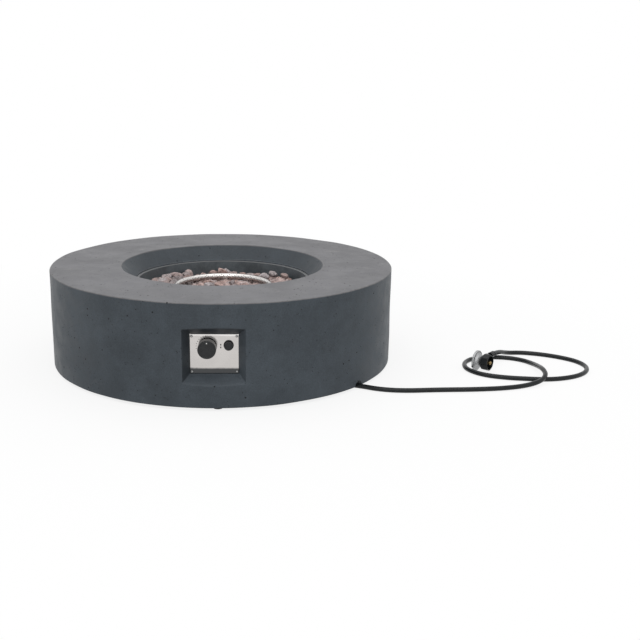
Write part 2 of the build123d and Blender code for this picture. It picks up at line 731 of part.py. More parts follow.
def stone(index, tall):
    """A broken stone one unit in plan radius: a many-sided block on a flat base, cut by tilted planes."""
    dice = random.Random(index)
    sides = dice.choice(STONE_SIDES)
    play = STONE_CORNER_PLAY
    corners = [(i + dice.uniform(-play, play)) * 2 * math.pi / sides for i in range(sides)]
    height = tall * dice.uniform(*STONE_HEIGHTS)
    outline = Polyline(*[(math.cos(a), math.sin(a)) for a in corners], close=True)
    block = extrude(make_face(outline), height)
    turn = dice.uniform(0, 360)
    for cut in range(STONE_CUTS):
        upper = cut % 2 == 0
        tilt = dice.uniform(*STONE_UPPER_TILTS) if upper else -dice.uniform(*STONE_LOWER_TILTS)
        tilt = math.radians(tilt)
        heading = turn + cut * 360 / STONE_CUTS + dice.uniform(-STONE_CUT_PLAY, STONE_CUT_PLAY)
        heading = math.radians(heading)
        normal = Vector(
            math.cos(heading) * math.cos(tilt), math.sin(heading) * math.cos(tilt), math.sin(tilt)
        )
        reach = math.cos(tilt) * STONE_CUT_REACH + abs(math.sin(tilt)) * height / 2
        depth = reach * dice.uniform(*STONE_CUT_DEPTHS)
        face = Plane(origin=Vector(0, 0, height / 2) + normal * depth, z_dir=normal)
        block = split(block, bisect_by=face, keep=Keep.BOTTOM)
    return block


def stone_obstacles():
    """What stands on the pan floor among the stones, as (x, y, radius) in plan."""
    feed = (0.0, -RING_RADIUS, LOCKNUT_FLATS / math.sqrt(3))
    spark = around(SPARK_AZIMUTH, Pos(0, -SPARK_RADIUS, 0)).position
    obstacles = [feed, (spark.X, spark.Y, math.hypot(SPARK_BRACKET_WIDTH, SPARK_BRACKET_DEPTH) / 2)]
    half = BRACKET_WIDTH / 2 * math.sqrt(2)
    for azimuth in BRACKET_AZIMUTHS:
        foot = bracket_bolt_radius()
        for radius in (foot - BRACKET_FOOT / 4, foot + BRACKET_FOOT / 2, RING_RADIUS):
            place = around(azimuth, Pos(0, -radius, 0)).position
            obstacles.append((place.X, place.Y, half))
    return obstacles


def lava_rocks():
    """Stones spread evenly over the pan floor on a sunflower spiral, each as wide as its neighbours allow."""
    wall = PAN_RADIUS - PAN_SHEET - PAN_BEND
    count = int((wall / STONE_SPREAD) ** 2)
    spots = []
    for index in range(1, count):
        radius = STONE_SPREAD * math.sqrt(index)
        angle = math.radians(index * GOLDEN_ANGLE)
        spots.append((radius * math.cos(angle), radius * math.sin(angle)))
    tall_stones = [stone(index, STONE_TALL) for index in range(STONE_SHAPES)]
    low_stones = [stone(index + STONE_SHAPES, STONE_LOW) for index in range(STONE_SHAPES)]
    obstacles = stone_obstacles()
    stones = []
    for index, (x, y) in enumerate(spots):
        rooms = [math.dist((x, y), other) / 2 for other in spots if other != (x, y)]
        rooms += [math.dist((x, y), (ox, oy)) - radius for ox, oy, radius in obstacles]
        room = min(rooms + [wall - math.hypot(x, y)]) - STONE_GAP / 2
        if room < STONE_LEAST:
            continue
        under_ring = abs(math.hypot(x, y) - RING_RADIUS) < RING_TUBE / 2 + room + STONE_GAP
        shape = (low_stones if under_ring else tall_stones)[index % STONE_SHAPES]
        placed = Pos(x, y, PAN_FLOOR_Z) * Rot(0, 0, index * GOLDEN_ANGLE) * scale(shape, by=room)
        stones.append(placed)
    return stones


# Control panel


def control_plate():
    plate = extrude(RectangleRounded(PLATE_WIDTH, PLATE_HEIGHT, RECESS_CORNER), PLATE_SHEET)
    plate = chamfer(plate.edges().group_by(Axis.Z)[-1], PLATE_BEVEL)
    hole = SCREW_DIAMETER + 2 * SCREW_CLEARANCE
    for x, y in screw_places():
        plate -= Pos(x, y, 0) * rod(hole, 0, PLATE_SHEET)
    for y in (-VALVE_SCREW_SPACING / 2, VALVE_SCREW_SPACING / 2):
        plate -= Pos(KNOB_X, KNOB_Y + y, 0) * rod(hole, 0, PLATE_SHEET)
    plate -= Pos(KNOB_X, KNOB_Y, 0) * rod(STEM_HOLE, 0, PLATE_SHEET)
    plate -= Pos(IGNITER_X, IGNITER_Y, 0) * rod(BARREL_DIAMETER + 2 * FIT_GAP, 0, PLATE_SHEET)
    return PANEL.location * plate


def panel_screw(length):
    """A round-head screw that sits on the plate's face."""
    screw = rod(SCREW_DIAMETER, PLATE_SHEET - length, PLATE_SHEET)
    head = rod(SCREW_HEAD_DIAMETER, PLATE_SHEET, PLATE_SHEET + SCREW_HEAD)
    head = fillet(head.edges().group_by(Axis.Z)[-1], SCREW_HEAD_ROUND)
    return screw + head


def plate_screws():
    return [on_panel(x, y, panel_screw(SCREW_LENGTH)) for x, y in screw_places()]


def valve_screws():
    half = VALVE_SCREW_SPACING / 2
    return [on_panel(KNOB_X, KNOB_Y + y, panel_screw(BONNET_THICKNESS)) for y in (-half, half)]


def valve_bonnet():
    bonnet = extrude(RectangleRounded(BONNET_WIDTH, BONNET_HEIGHT, VALVE_EDGE), BONNET_THICKNESS)
    bonnet = Pos(0, 0, -BONNET_THICKNESS) * bonnet
    bonnet -= rod(STEM_DIAMETER + 2 * RUNNING_GAP, -BONNET_THICKNESS, 0)
    hole = SCREW_DIAMETER + 2 * SCREW_CLEARANCE
    for y in (-VALVE_SCREW_SPACING / 2, VALVE_SCREW_SPACING / 2):
        bonnet -= Pos(0, y, 0) * rod(hole, -BONNET_THICKNESS, 0)
    return on_panel(KNOB_X, KNOB_Y, bonnet)


def valve_body():
    block = Pos(0, 0, VALVE_BACK + VALVE_LENGTH / 2) * Box(VALVE_WIDTH, VALVE_HEIGHT, VALVE_LENGTH)
    block = fillet(block.edges().filter_by(Axis.Z), VALVE_EDGE)
    block += rod(SPIGOT_DIAMETER, VALVE_BACK - SPIGOT_LENGTH, VALVE_BACK)
    block -= rod(SPIGOT_BORE, VALVE_BACK - SPIGOT_LENGTH, VALVE_BACK + VALVE_LENGTH / 4)
    middle = VALVE_BACK + VALVE_LENGTH / 2
    spigot = Pos(0, 0, middle) * Rot(90, 0, 0)
    half = VALVE_HEIGHT / 2
    block += spigot * rod(HOSE_SPIGOT_DIAMETER, half, half + HOSE_SPIGOT_LENGTH)
    block -= spigot * rod(SPIGOT_BORE, half / 2, half + HOSE_SPIGOT_LENGTH)
    top = -BONNET_THICKNESS
    block -= rod(PLUG_DIAMETER + 2 * RUNNING_GAP, top - PLUG_SETBACK - PLUG_LENGTH, top)
    return on_panel(KNOB_X, KNOB_Y, block)


def d_bar(diameter, flat, low, high):
    """A round bar with one flat along it."""
    bar = rod(diameter, low, high)
    return bar - Pos(diameter / 2 + flat, 0, (low + high) / 2) * Box(diameter, diameter, high - low)


def valve_plug():
    top = -BONNET_THICKNESS - PLUG_SETBACK
    plug = rod(PLUG_DIAMETER, top - PLUG_LENGTH, top)
    floor = top - PLUG_LENGTH + PLUG_FLOOR
    plug -= d_bar(STEM_DIAMETER + 2 * RUNNING_GAP, STEM_FLAT + RUNNING_GAP, floor, top)
    return on_panel(KNOB_X, KNOB_Y, plug)


def valve_stem():
    """A round stem whose inner end has a flat that drives the plug."""
    drive_top = -BONNET_THICKNESS
    stem = d_bar(STEM_DIAMETER, STEM_FLAT, -STEM_TAIL, drive_top)
    stem += rod(STEM_DIAMETER, drive_top, KNOB_BACK + KNOB_POCKET)
    return on_panel(KNOB_X, KNOB_Y, stem)


def valve_spring():
    length = KNOB_BACK + KNOB_HUB_RECESS - PLATE_SHEET
    spring = coil_spring(KNOB_SPRING_DIAMETER, length, KNOB_SPRING_TURNS)
    return on_panel(KNOB_X, KNOB_Y, Pos(0, 0, PLATE_SHEET) * spring)


def control_knob():
    front = KNOB_BACK + KNOB_LENGTH
    knob = rod(KNOB_DIAMETER, KNOB_BACK, front)
    knob = fillet(knob.edges().group_by(Axis.Z)[-1], KNOB_EDGE)
    flute = rod(FLUTE_DIAMETER, KNOB_BACK, front - 2 * KNOB_EDGE)
    flute = Pos(KNOB_DIAMETER / 2 + FLUTE_DIAMETER / 2 - FLUTE_DEPTH, 0, 0) * flute
    knob -= [Rot(0, 0, (i + 0.5) * 360 / KNOB_FLUTES) * flute for i in range(KNOB_FLUTES)]
    pocket = rod(KNOB_DIAMETER - 2 * KNOB_WALL, KNOB_BACK, KNOB_BACK + KNOB_POCKET)
    hub = rod(KNOB_HUB, KNOB_BACK + KNOB_HUB_RECESS, KNOB_BACK + KNOB_POCKET)
    knob -= pocket - hub
    knob -= rod(STEM_DIAMETER + 2 * RUNNING_GAP, KNOB_BACK, KNOB_BACK + KNOB_POCKET)
    face = front - KNOB_DISH
    knob -= rod(KNOB_DIAMETER - 2 * KNOB_RIM, face, front)
    marker = Pos(0, KNOB_DIAMETER / 2 - MARKER_INSET, 0) * rod(MARKER_DIAMETER, face - MARKER_DEPTH, face)
    return on_panel(KNOB_X, KNOB_Y, knob - marker)


def hose_nut():
    """The swivel nut that ties the hose to the valve's inlet, half on the spigot and half on the hose."""
    half = HOSE_NUT_LENGTH / 2
    nut = hexagon(HOSE_NUT_FLATS, -half, half)
    nut -= rod(HOSE_SPIGOT_DIAMETER + 2 * FIT_GAP, 0, half)
    nut -= rod(HOSE_DIAMETER + 2 * FIT_GAP, -half, 0)
    return Pos(*hose_start()) * nut


def igniter_barrel():
    back = COLLAR_FRONT - BARREL_LENGTH
    seat = BUTTON_SHOULDER - BUTTON_SPRING_LENGTH
    barrel = rod(BARREL_DIAMETER, back, COLLAR_FRONT)
    barrel -= rod(BUTTON_STEM + 2 * RUNNING_GAP, seat, COLLAR_FRONT)
    barrel -= rod(BATTERY_DIAMETER + 2 * BATTERY_GAP, back + BARREL_FLOOR, seat)
    return on_panel(IGNITER_X, IGNITER_Y, barrel)


def igniter_collar():
    collar = rod(COLLAR_DIAMETER, PLATE_SHEET, COLLAR_FRONT)
    collar = chamfer(collar.edges().group_by(Axis.Z)[-1], COLLAR_CHAMFER)
    collar -= rod(BARREL_DIAMETER + 2 * FIT_GAP, PLATE_SHEET, COLLAR_FRONT)
    return on_panel(IGNITER_X, IGNITER_Y, collar)


def igniter_nut():
    nut = hexagon(IGNITER_NUT_FLATS, -IGNITER_NUT, 0) - rod(BARREL_DIAMETER + 2 * FIT_GAP, -IGNITER_NUT, 0)
    return on_panel(IGNITER_X, IGNITER_Y, nut)


def igniter_button():
    shoulder = COLLAR_FRONT + BUTTON_TRAVEL_GAP
    cap = rod(BUTTON_DIAMETER, shoulder, shoulder + BUTTON_CAP)
    cap = fillet(cap.edges().group_by(Axis.Z)[-1], BUTTON_EDGE)
    return on_panel(IGNITER_X, IGNITER_Y, cap + rod(BUTTON_STEM, BUTTON_SHOULDER, shoulder))


def igniter_spring():
    spring = coil_spring(BUTTON_SPRING_DIAMETER, BUTTON_SPRING_LENGTH, BUTTON_SPRING_TURNS)
    return on_panel(IGNITER_X, IGNITER_Y, Pos(0, 0, BUTTON_SHOULDER - BUTTON_SPRING_LENGTH) * spring)


def igniter_battery():
    low = COLLAR_FRONT - BARREL_LENGTH + BARREL_FLOOR
    return on_panel(IGNITER_X, IGNITER_Y, rod(BATTERY_DIAMETER, low, low + BATTERY_LENGTH))


# Hose and regulator


def hose_start():
    """The end of the valve's inlet spigot, where the hose is tied on."""
    inlet = Pos(KNOB_X, KNOB_Y - VALVE_HEIGHT / 2 - HOSE_SPIGOT_LENGTH, VALVE_BACK + VALVE_LENGTH / 2)
    return (PANEL.location * inlet).position


def on_outlet(reach):
    """A point on the regulator's hose outlet, counted from the disc's centre line."""
    return (REGULATOR.location * Pos(reach, 0, OUTLET_OFFSET)).position


def hose_route():
    """Down from the valve, out through the notch and round two open turns on the floor to the regulator."""
    low = HOSE_Z
    start = hose_start()
    return [
        start,
        Vector(start.X, start.Y, 80),
        Vector(13, -440, 30),
        Vector(64, -402, 13),
        Vector(122, -358, low),
        Vector(201, -325, low),
        Vector(280, -311, low),
        Vector(351, -312, low),
        Vector(413, -334, low),
        Vector(471, -368, low),
        Vector(542, -380, low),
        Vector(642, -371, low),
        Vector(750, -368, low),
        Vector(818, -358, low),
        Vector(876, -346, low),
        Vector(925, -330, low),
        Vector(966, -300, HUMP),
        Vector(990, -250, HUMP),
        Vector(1000, -190, low),
        Vector(991, -130, low),
        Vector(958, -78, low),
        Vector(908, -47, low),
        Vector(852, -41, low),
        Vector(798, -60, low),
        Vector(762, -112, low),
        Vector(761, -176, low),
        Vector(802, -231, low),
        Vector(865, -257, low),
        Vector(926, -268, low),
        Vector(984, -275, low),
        Vector(1042, -265, low),
        Vector(1096, -238, low),
        Vector(1135, -195, low),
        Vector(1149, -142, low),
        Vector(1134, -88, low),
        Vector(1094, -47, low),
        Vector(1042, -14, low),
        Vector(978, 8, low),
        Vector(925, -4, 10),
        on_outlet(HOSE_END + HOSE_STRAIGHT),
        on_outlet(HOSE_END),
    ]


def hose_bends(points):
    """The largest tangent arc that each corner's two runs leave room for."""
    bends = []
    for before, corner, after in zip(points, points[1:], points[2:]):
        arriving, leaving = corner - before, after - corner
        half_turn = math.radians(arriving.get_angle(leaving)) / 2
        bends.append(HOSE_ARC_SHARE * min(arriving.length, leaving.length) / math.tan(half_turn))
    return bends


def gas_hose():
    points = hose_route()
    bends = hose_bends(points)
    hose = tube_along(points, HOSE_DIAMETER, 0, bends)
    length = FilletPolyline(*points, radius=bends).length
    share = hose.volume / (math.pi * HOSE_RADIUS**2 * length)
    print("hose length", round(length), "volume share", round(share, 4), "least bend", round(min(bends), 1))
    print("hose bends", [round(bend) for bend in bends])
    return hose


def at_regulator(part):
    """A part of the regulator, made on Z with the disc's joint face at Z = 0."""
    return REGULATOR.location * part


def along_outlet(part):
    """A part made on Z, laid along the regulator's hose outlet."""
    return at_regulator(Pos(0, 0, OUTLET_OFFSET) * Rot(0, 90, 0) * part)


def cover_screw_places():
    step = 360 / COVER_SCREW_COUNT
    return [Rot(0, 0, i * step) * Pos(0, COVER_SCREW_CIRCLE / 2, 0) for i in range(COVER_SCREW_COUNT)]


def regulator_body():
    face = FLANGE_THICKNESS / 2
    shoulder = face + BODY_DOME_HEIGHT
    casting = turned(
        [
            (0, -face),
            (DISC_RADIUS, -face),
            (DISC_RADIUS, face),
            (BODY_DOME_DIAMETER / 2, face),
            (NECK_DIAMETER / 2 + NUT_BACK_GAP, shoulder),
            (NECK_DIAMETER / 2, shoulder),
            (NECK_DIAMETER / 2, NECK_END),
            (0, NECK_END),
        ]
    )
    boss = Pos(0, 0, OUTLET_OFFSET) * Rot(0, 90, 0) * rod(OUTLET_BOSS, 0, OUTLET_REACH)
    casting += boss
    for place in cover_screw_places():
        casting -= place * rod(COVER_SCREW_DIAMETER + 2 * FIT_GAP, -face, face)
    return at_regulator(casting)


def regulator_cover():
    face = -FLANGE_THICKNESS / 2
    back = face - COVER_FLANGE
    crown = back - COVER_DOME_HEIGHT
    cover = turned(
        [
            (0, face),
            (DISC_RADIUS, face),
            (DISC_RADIUS, back),
            (COVER_DOME_DIAMETER / 2, back),
            (COVER_TOP_DIAMETER / 2, crown),
            (0, crown),
        ]
    )
    for place in cover_screw_places():
        cover -= place * rod(COVER_SCREW_DIAMETER + 2 * FIT_GAP, back, face)
    return at_regulator(cover)


def regulator_screws():
    seat = -FLANGE_THICKNESS / 2 - COVER_FLANGE
    screw = rod(COVER_SCREW_DIAMETER, seat, FLANGE_THICKNESS / 2)
    screw += rod(COVER_SCREW_HEAD, seat - COVER_SCREW_HEAD_HEIGHT, seat)
    return [at_regulator(place * screw) for place in cover_screw_places()]


def vent_cap():
    crown = -FLANGE_THICKNESS / 2 - COVER_FLANGE - COVER_DOME_HEIGHT
    return at_regulator(rod(VENT_DIAMETER, crown - VENT_HEIGHT, crown))


def coupling_nut():
    nut = rod(NUT_DIAMETER, NUT_BACK, NUT_FRONT)
    nut = fillet(nut.edges().filter_by(GeomType.CIRCLE), NUT_EDGE)
    reach = NUT_DIAMETER / 2 + NUT_SCALLOP / 2 - NUT_SCALLOP_DEPTH
    scallop = Pos(reach, 0, 0) * rod(NUT_SCALLOP, NUT_BACK, NUT_FRONT)
    nut -= [Rot(0, 0, (i + 0.5) * 360 / NUT_LOBES) * scallop for i in range(NUT_LOBES)]
    nut -= rod(NUT_SOCKET, NUT_BACK + NUT_WEB, NUT_FRONT)
    return at_regulator(nut - rod(NECK_DIAMETER + 2 * RUNNING_GAP, NUT_BACK, NUT_BACK + NUT_WEB))


def inlet_nipple():
    nose = NUT_FRONT + NIPPLE_PROUD
    nipple = rod(NIPPLE_DIAMETER, NECK_END, nose)
    nipple = fillet(nipple.edges().group_by(Axis.Z)[-1], NIPPLE_ROUND)
    nipple += rod(NIPPLE_FLANGE, NECK_END, NECK_END + NIPPLE_FLANGE_THICKNESS)
    return at_regulator(nipple)


def nipple_seal():
    centre = NUT_FRONT - SEAL_SETBACK
    radius = NIPPLE_DIAMETER / 2 + SEAL_WIRE / 2 + FIT_GAP
    return at_regulator(Pos(0, 0, centre) * Torus(radius, SEAL_WIRE / 2))


def outlet_fitting():
    hex_end = OUTLET_REACH + OUTLET_HEX
    fitting = hexagon(OUTLET_FLATS, OUTLET_REACH, hex_end) + rod(OUTLET_SPIGOT, hex_end, HOSE_END)
    return along_outlet(fitting)


def hose_ferrule():
    ferrule = rod(FERRULE_DIAMETER, FERRULE_START, FERRULE_START + FERRULE_LENGTH)
    ferrule -= rod(HOSE_DIAMETER + 2 * FIT_GAP, HOSE_END, FERRULE_START + FERRULE_LENGTH)
    return along_outlet(ferrule - rod(OUTLET_SPIGOT + 2 * FIT_GAP, FERRULE_START, HOSE_END))


PIECES = (
    table_body,
    foot_pads,
    foot_studs,
    foot_inserts,
    burner_pan,
    burner_ring,
    ring_brackets,
    bracket_bolts,
    burner_inlet,
    inlet_locknuts,
    air_mixer,
    gas_jet,
    supply_tube,
    supply_nuts,
    spark_bracket,
    spark_ceramic,
    spark_rod,
    spark_lead,
    thermocouple,
    thermocouple_lead,
    lava_rocks,
    control_plate,
    plate_screws,
    valve_bonnet,
    valve_body,
    valve_screws,
    valve_plug,
    valve_stem,
    valve_spring,
    control_knob,
    hose_nut,
    igniter_barrel,
    igniter_collar,
    igniter_nut,
    igniter_button,
    igniter_spring,
    igniter_battery,
    gas_hose,
    regulator_body,
    regulator_cover,
    regulator_screws,
    vent_cap,
    coupling_nut,
    inlet_nipple,
    nipple_seal,
    outlet_fitting,
    hose_ferrule,
)

os.makedirs("parts", exist_ok=True)
for piece in PIECES:
    export_step(Compound(children=solids_of(piece())), f"parts/{piece.__name__}.step")
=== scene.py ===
"""Dresses a round cast gas fire pit: drum, burner with lava stones, control panel, hose and regulator.

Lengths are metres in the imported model's frame: +Z is up and the control panel faces -Y.
"""
import json
import math

import bmesh
import bpy
import numpy as np
from bpy.props import FloatProperty, FloatVectorProperty, IntProperty, PointerProperty
from bpy.types import Operator, Panel, PropertyGroup
from mathutils import Matrix, Vector


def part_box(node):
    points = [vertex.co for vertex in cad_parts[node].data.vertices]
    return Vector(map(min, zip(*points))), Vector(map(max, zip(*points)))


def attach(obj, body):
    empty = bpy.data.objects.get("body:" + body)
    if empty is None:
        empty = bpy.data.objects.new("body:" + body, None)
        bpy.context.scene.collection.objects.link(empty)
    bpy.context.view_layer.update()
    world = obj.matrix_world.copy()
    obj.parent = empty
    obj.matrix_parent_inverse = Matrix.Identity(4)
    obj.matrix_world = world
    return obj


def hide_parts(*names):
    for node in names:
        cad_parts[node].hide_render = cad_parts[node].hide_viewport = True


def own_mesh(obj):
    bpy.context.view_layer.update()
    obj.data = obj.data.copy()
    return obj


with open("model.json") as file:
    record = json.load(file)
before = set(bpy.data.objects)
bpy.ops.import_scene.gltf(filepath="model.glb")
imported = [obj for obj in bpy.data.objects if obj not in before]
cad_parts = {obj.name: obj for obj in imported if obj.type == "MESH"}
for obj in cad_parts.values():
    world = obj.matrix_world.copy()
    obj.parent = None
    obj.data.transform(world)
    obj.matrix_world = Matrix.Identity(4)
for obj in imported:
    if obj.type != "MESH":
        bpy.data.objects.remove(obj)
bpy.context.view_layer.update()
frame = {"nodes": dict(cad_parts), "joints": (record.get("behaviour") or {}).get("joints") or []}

bl_info = {
    "name": "Gas Fire Pit",
    "version": (1, 0, 0),
    "blender": (4, 5, 0),
    "location": "View3D > Sidebar > Fire Pit",
    "description": "Finishes a cast gas fire pit with its stones, panel, hose and regulator",
    "category": "Add Mesh",
}

TAU = 2 * math.pi

# Places read from the frame
DRUM_LOW, DRUM_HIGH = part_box("table_body")
PAN_LOW, PAN_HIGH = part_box("burner_pan")
RING_LOW, RING_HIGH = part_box("burner_ring")
PLATE_LOW, PLATE_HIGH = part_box("control_plate")
KNOB_LOW, KNOB_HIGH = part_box("control_knob")
COLLAR_LOW, COLLAR_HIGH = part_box("igniter_collar")
BUTTON_LOW, BUTTON_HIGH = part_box("igniter_button")
FOOT_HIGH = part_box("foot_pads")[1]
PANEL_Y = PLATE_HIGH.y
PANEL_Z = (PLATE_LOW.z + PLATE_HIGH.z) / 2
PLATE_FACE = PLATE_HIGH.y - PLATE_LOW.y
PLATE_HALF = ((PLATE_HIGH.x - PLATE_LOW.x) / 2, (PLATE_HIGH.z - PLATE_LOW.z) / 2)
PLATE_GAP = 0.0005
KNOB_CENTRE = ((KNOB_LOW.x + KNOB_HIGH.x) / 2, (KNOB_LOW.z + KNOB_HIGH.z) / 2)
KNOB_RADIUS = (KNOB_HIGH.x - KNOB_LOW.x) / 2
KNOB_DISH = 0.0008
IGNITER_CENTRE = ((COLLAR_LOW.x + COLLAR_HIGH.x) / 2, (COLLAR_LOW.z + COLLAR_HIGH.z) / 2)
RING_RADIUS = RING_HIGH.x - (RING_HIGH.z - RING_LOW.z) / 2
FOOT_RADIUS = 0.015
OUTLET_OFFSET = 0.006
INK_THICKNESS = 0.00012
JOINTS = {joint["name"]: joint for joint in frame["joints"]}
NUT_JOINT = JOINTS["coupling_nut_spin"]

# The cast faces lie inside the solid by these margins, so that their waves stay in its box
SIDE_MARGIN, TOP_MARGIN = 0.0009, 0.0012
DRUM_RADIUS = DRUM_HIGH.x - SIDE_MARGIN
DRUM_TOP = DRUM_HIGH.z - TOP_MARGIN

# The hose's route, point by point, from the valve behind the panel to the regulator
HOSE_LIE = 0.00755
HOSE_ROUTE = (
    (-0.0186, -0.464, 0.140), (-0.0186, -0.464, 0.080), (0.013, -0.44, 0.03),
    (0.064, -0.402, 0.013), (0.122, -0.358, HOSE_LIE), (0.201, -0.325, HOSE_LIE),
    (0.28, -0.311, HOSE_LIE), (0.351, -0.312, HOSE_LIE), (0.413, -0.334, HOSE_LIE),
    (0.471, -0.368, HOSE_LIE), (0.542, -0.38, HOSE_LIE), (0.642, -0.371, HOSE_LIE),
    (0.75, -0.368, HOSE_LIE), (0.844, -0.356, HOSE_LIE), (0.915, -0.333, 0.0082),
    (0.963, -0.307, 0.014), (0.985, -0.275, 0.0232), (0.986, -0.231, 0.027),
    (0.986, -0.175, 0.0185), (0.981, -0.119, 0.01), (0.959, -0.075, HOSE_LIE),
    (0.915, -0.049, HOSE_LIE), (0.855, -0.043, HOSE_LIE), (0.798, -0.06, HOSE_LIE),
    (0.762, -0.112, HOSE_LIE), (0.761, -0.176, HOSE_LIE), (0.802, -0.231, HOSE_LIE),
    (0.865, -0.257, HOSE_LIE), (0.926, -0.268, HOSE_LIE), (0.984, -0.275, HOSE_LIE),
    (1.042, -0.265, HOSE_LIE), (1.096, -0.238, HOSE_LIE), (1.135, -0.195, HOSE_LIE),
    (1.149, -0.142, HOSE_LIE), (1.134, -0.088, HOSE_LIE), (1.094, -0.047, HOSE_LIE),
    (1.042, -0.014, HOSE_LIE), (0.978, 0.008, HOSE_LIE), (0.925, -0.004, 0.01),
)


def setting(label, text, default, **kind):
    """A number with its name, its description and its unit or subtype."""
    return FloatProperty(name=label, description=text, default=default, **kind)


def distance(label, text, default):
    """A length setting in metres."""
    return setting(label, text, default, subtype="DISTANCE", unit="LENGTH")


def slant(label, text, degrees):
    """An angle setting, given in degrees."""
    return setting(label, text, math.radians(degrees), subtype="ANGLE")


def share_of(label, text, default):
    """A setting that is a plain factor."""
    return setting(label, text, default, subtype="FACTOR")


def tally(label, text, default):
    """A setting that counts things."""
    return IntProperty(name=label, description=text, default=default, subtype="UNSIGNED")


def shade(label, text, default):
    """A colour setting in linear light."""
    return FloatVectorProperty(
        name=label, description=text, default=default, size=3, min=0.0, max=1.0, subtype="COLOR"
    )


class DrumSettings(PropertyGroup):
    """Sizes and colours of the cast drum and its feet."""

    opening: distance("Bowl mouth", "Radius of the bowl at the top", 0.318)
    ledge_depth: distance("Ledge depth", "Depth of the ledge that carries the pan", 0.0505)
    ledge_step: distance("Ledge step", "Height of the upright step at the ledge", 0.0065)
    throat_depth: distance("Throat depth", "Depth of the throat below the ledge", 0.028)
    bowl_wall: distance("Bowl wall", "Thickness of the bowl at its foot", 0.026)
    bowl_undercut: distance("Bowl root", "Thickness of the bowl where it joins the top", 0.030)
    slab: distance("Top thickness", "Thickness of the top", 0.036)
    wall_base: distance("Wall at base", "Thickness of the wall at its foot", 0.026)
    wall_top: distance("Wall at top", "Thickness of the wall under the top", 0.034)
    inner_corner: distance("Inner corner", "Radius between the wall and the top, inside", 0.018)
    arris: distance("Arris", "Radius of the worn outer edges", 0.003)
    waviness: distance("Unevenness", "Height of the slow waves in the cast faces", 0.00035)
    recess_taper: slant("Recess taper", "Slope of the recess walls", 34.5)
    recess_corner: distance("Recess corner", "Corner radius of the recess", 0.0025)
    # Painted sheen: the top colour is paler than the side's, partly as dust and partly standing for the sheen
    # of light on the top face.
    top_dust_and_sheen_colour: shade("Top", "Concrete on the top, dusty from use", (0.124, 0.124, 0.132))
    side_colour: shade("Side", "Concrete on the side and in the bowl", (0.060, 0.072, 0.084))
    # Pale wear and painted highlight: this colour marks real smudges and worn edges, and also stands for the
    # highlight along the arrises.
    pale_wear_and_highlight_colour: shade("Worn edge", "Concrete on rubbed edges and smudges", (0.20, 0.197, 0.195))
    # Painted shade: the near-black pit colour stands for the shade inside the air holes.
    pit_shade_colour: shade("Pits", "Inside of the small air holes", (0.020, 0.021, 0.023))


class BurnerSettings(PropertyGroup):
    """Sizes and colours of the pan, the ring and the stones."""

    pan_sheet: distance("Pan sheet", "Thickness of the pan", 0.0015)
    pan_rim: distance("Pan rim", "Width of the pan's flat rim", 0.0075)
    pan_bend: distance("Pan bend", "Radius at the foot of the pan's wall", 0.006)
    ring_tube: distance("Ring tube", "Radius of the tube, which rests where the solid ring rests", 0.0092)
    port_radius: distance("Port radius", "Radius of a gas port in the ring", 0.0013)
    ports: tally("Ports", "Gas ports round the ring", 36)
    stone_spread: distance("Stone spread", "Step of the stones' spiral", 0.0172)
    stone_top: distance("Stone top", "Highest point of the heap", 0.2405)
    mound_slope: share_of("Mound slope", "Rise of the heap inside the ring", 0.2)
    stone_red: shade("Red lava", "Fresh reddish lava", (0.47, 0.325, 0.29))
    stone_grey: shade("Grey lava", "Grey lava", (0.395, 0.36, 0.365))
    pan_colour: shade("Pan", "Dull painted steel of the pan", (0.084, 0.098, 0.108))
    steel_colour: shade("Stainless", "Stainless ring and plate", (0.66, 0.635, 0.615))


class PanelSettings(PropertyGroup):
    """Sizes and colours of the control panel."""

    plate_bevel: distance("Plate edge", "Width of the plate's pressed edge", 0.0022)
    flutes: tally("Flutes", "Grip flutes round the knob", 24)
    flute_depth: distance("Flute depth", "Depth of a grip flute", 0.0007)
    tick_length: distance("Tick length", "Length of a dial tick", 0.0040)
    ticks: tally("Ticks", "Dial ticks beside the knob", 8)
    plate_colour: shade("Plate", "Bright stainless of the plate", (0.585, 0.562, 0.544))
    plastic_colour: shade("Plastic", "Black moulded plastic", (0.013, 0.014, 0.015))
    ink_colour: shade("Ink", "Printed dial ticks", (0.035, 0.035, 0.036))
    marker_colour: shade("Marker", "Dot on the knob", (0.82, 0.82, 0.80))


class HoseSettings(PropertyGroup):
    """Sizes and colours of the hose and the regulator."""

    diameter: distance("Hose diameter", "Outside of the hose", 0.0145)
    length: distance("Hose length", "Length of the hose from the valve to the regulator", 2.55)
    rubber_colour: shade("Rubber", "Hose rubber", (0.008, 0.010, 0.011))
    casting_colour: shade("Casting", "Die-cast regulator", (0.40, 0.405, 0.41))
    nut_colour: shade("Hand nut", "Moulded hand nut", (0.006, 0.008, 0.009))
    brass_colour: shade("Brass", "Dull brass fittings", (0.31, 0.23, 0.115))


class StageSettings(PropertyGroup):
    """Camera, light and floor."""

    eye: FloatVectorProperty(
        name="Eye", description="Where the camera stands", default=(0.1652, -3.1306, 0.9511), subtype="XYZ"
    )
    yaw: slant("Yaw", "Camera turned to the right", 2.656)
    pitch: slant("Pitch", "Camera tipped down", 14.881)
    roll: slant("Roll", "Camera rolled", 0.88)
    lens: setting("Lens", "Focal length in millimetres", 56.43, subtype="DISTANCE_CAMERA", unit="CAMERA")
    key_power: setting("Key", "Power of the overhead light", 30.0, unit="POWER")
    strip_power: setting("Strip", "Power of the long lamp in front", 26.0, unit="POWER")
    sky: share_of("Sky", "Strength of the light all round", 0.80)
    floor_span: distance("Floor", "Width of the floor", 60.0)
    floor_bounce: share_of("Floor bounce", "Share of light the floor returns", 0.40)
    shadow_share: share_of("Shadow", "How much of the shadow on the floor is seen", 0.17)


# Surfaces as arrays of points


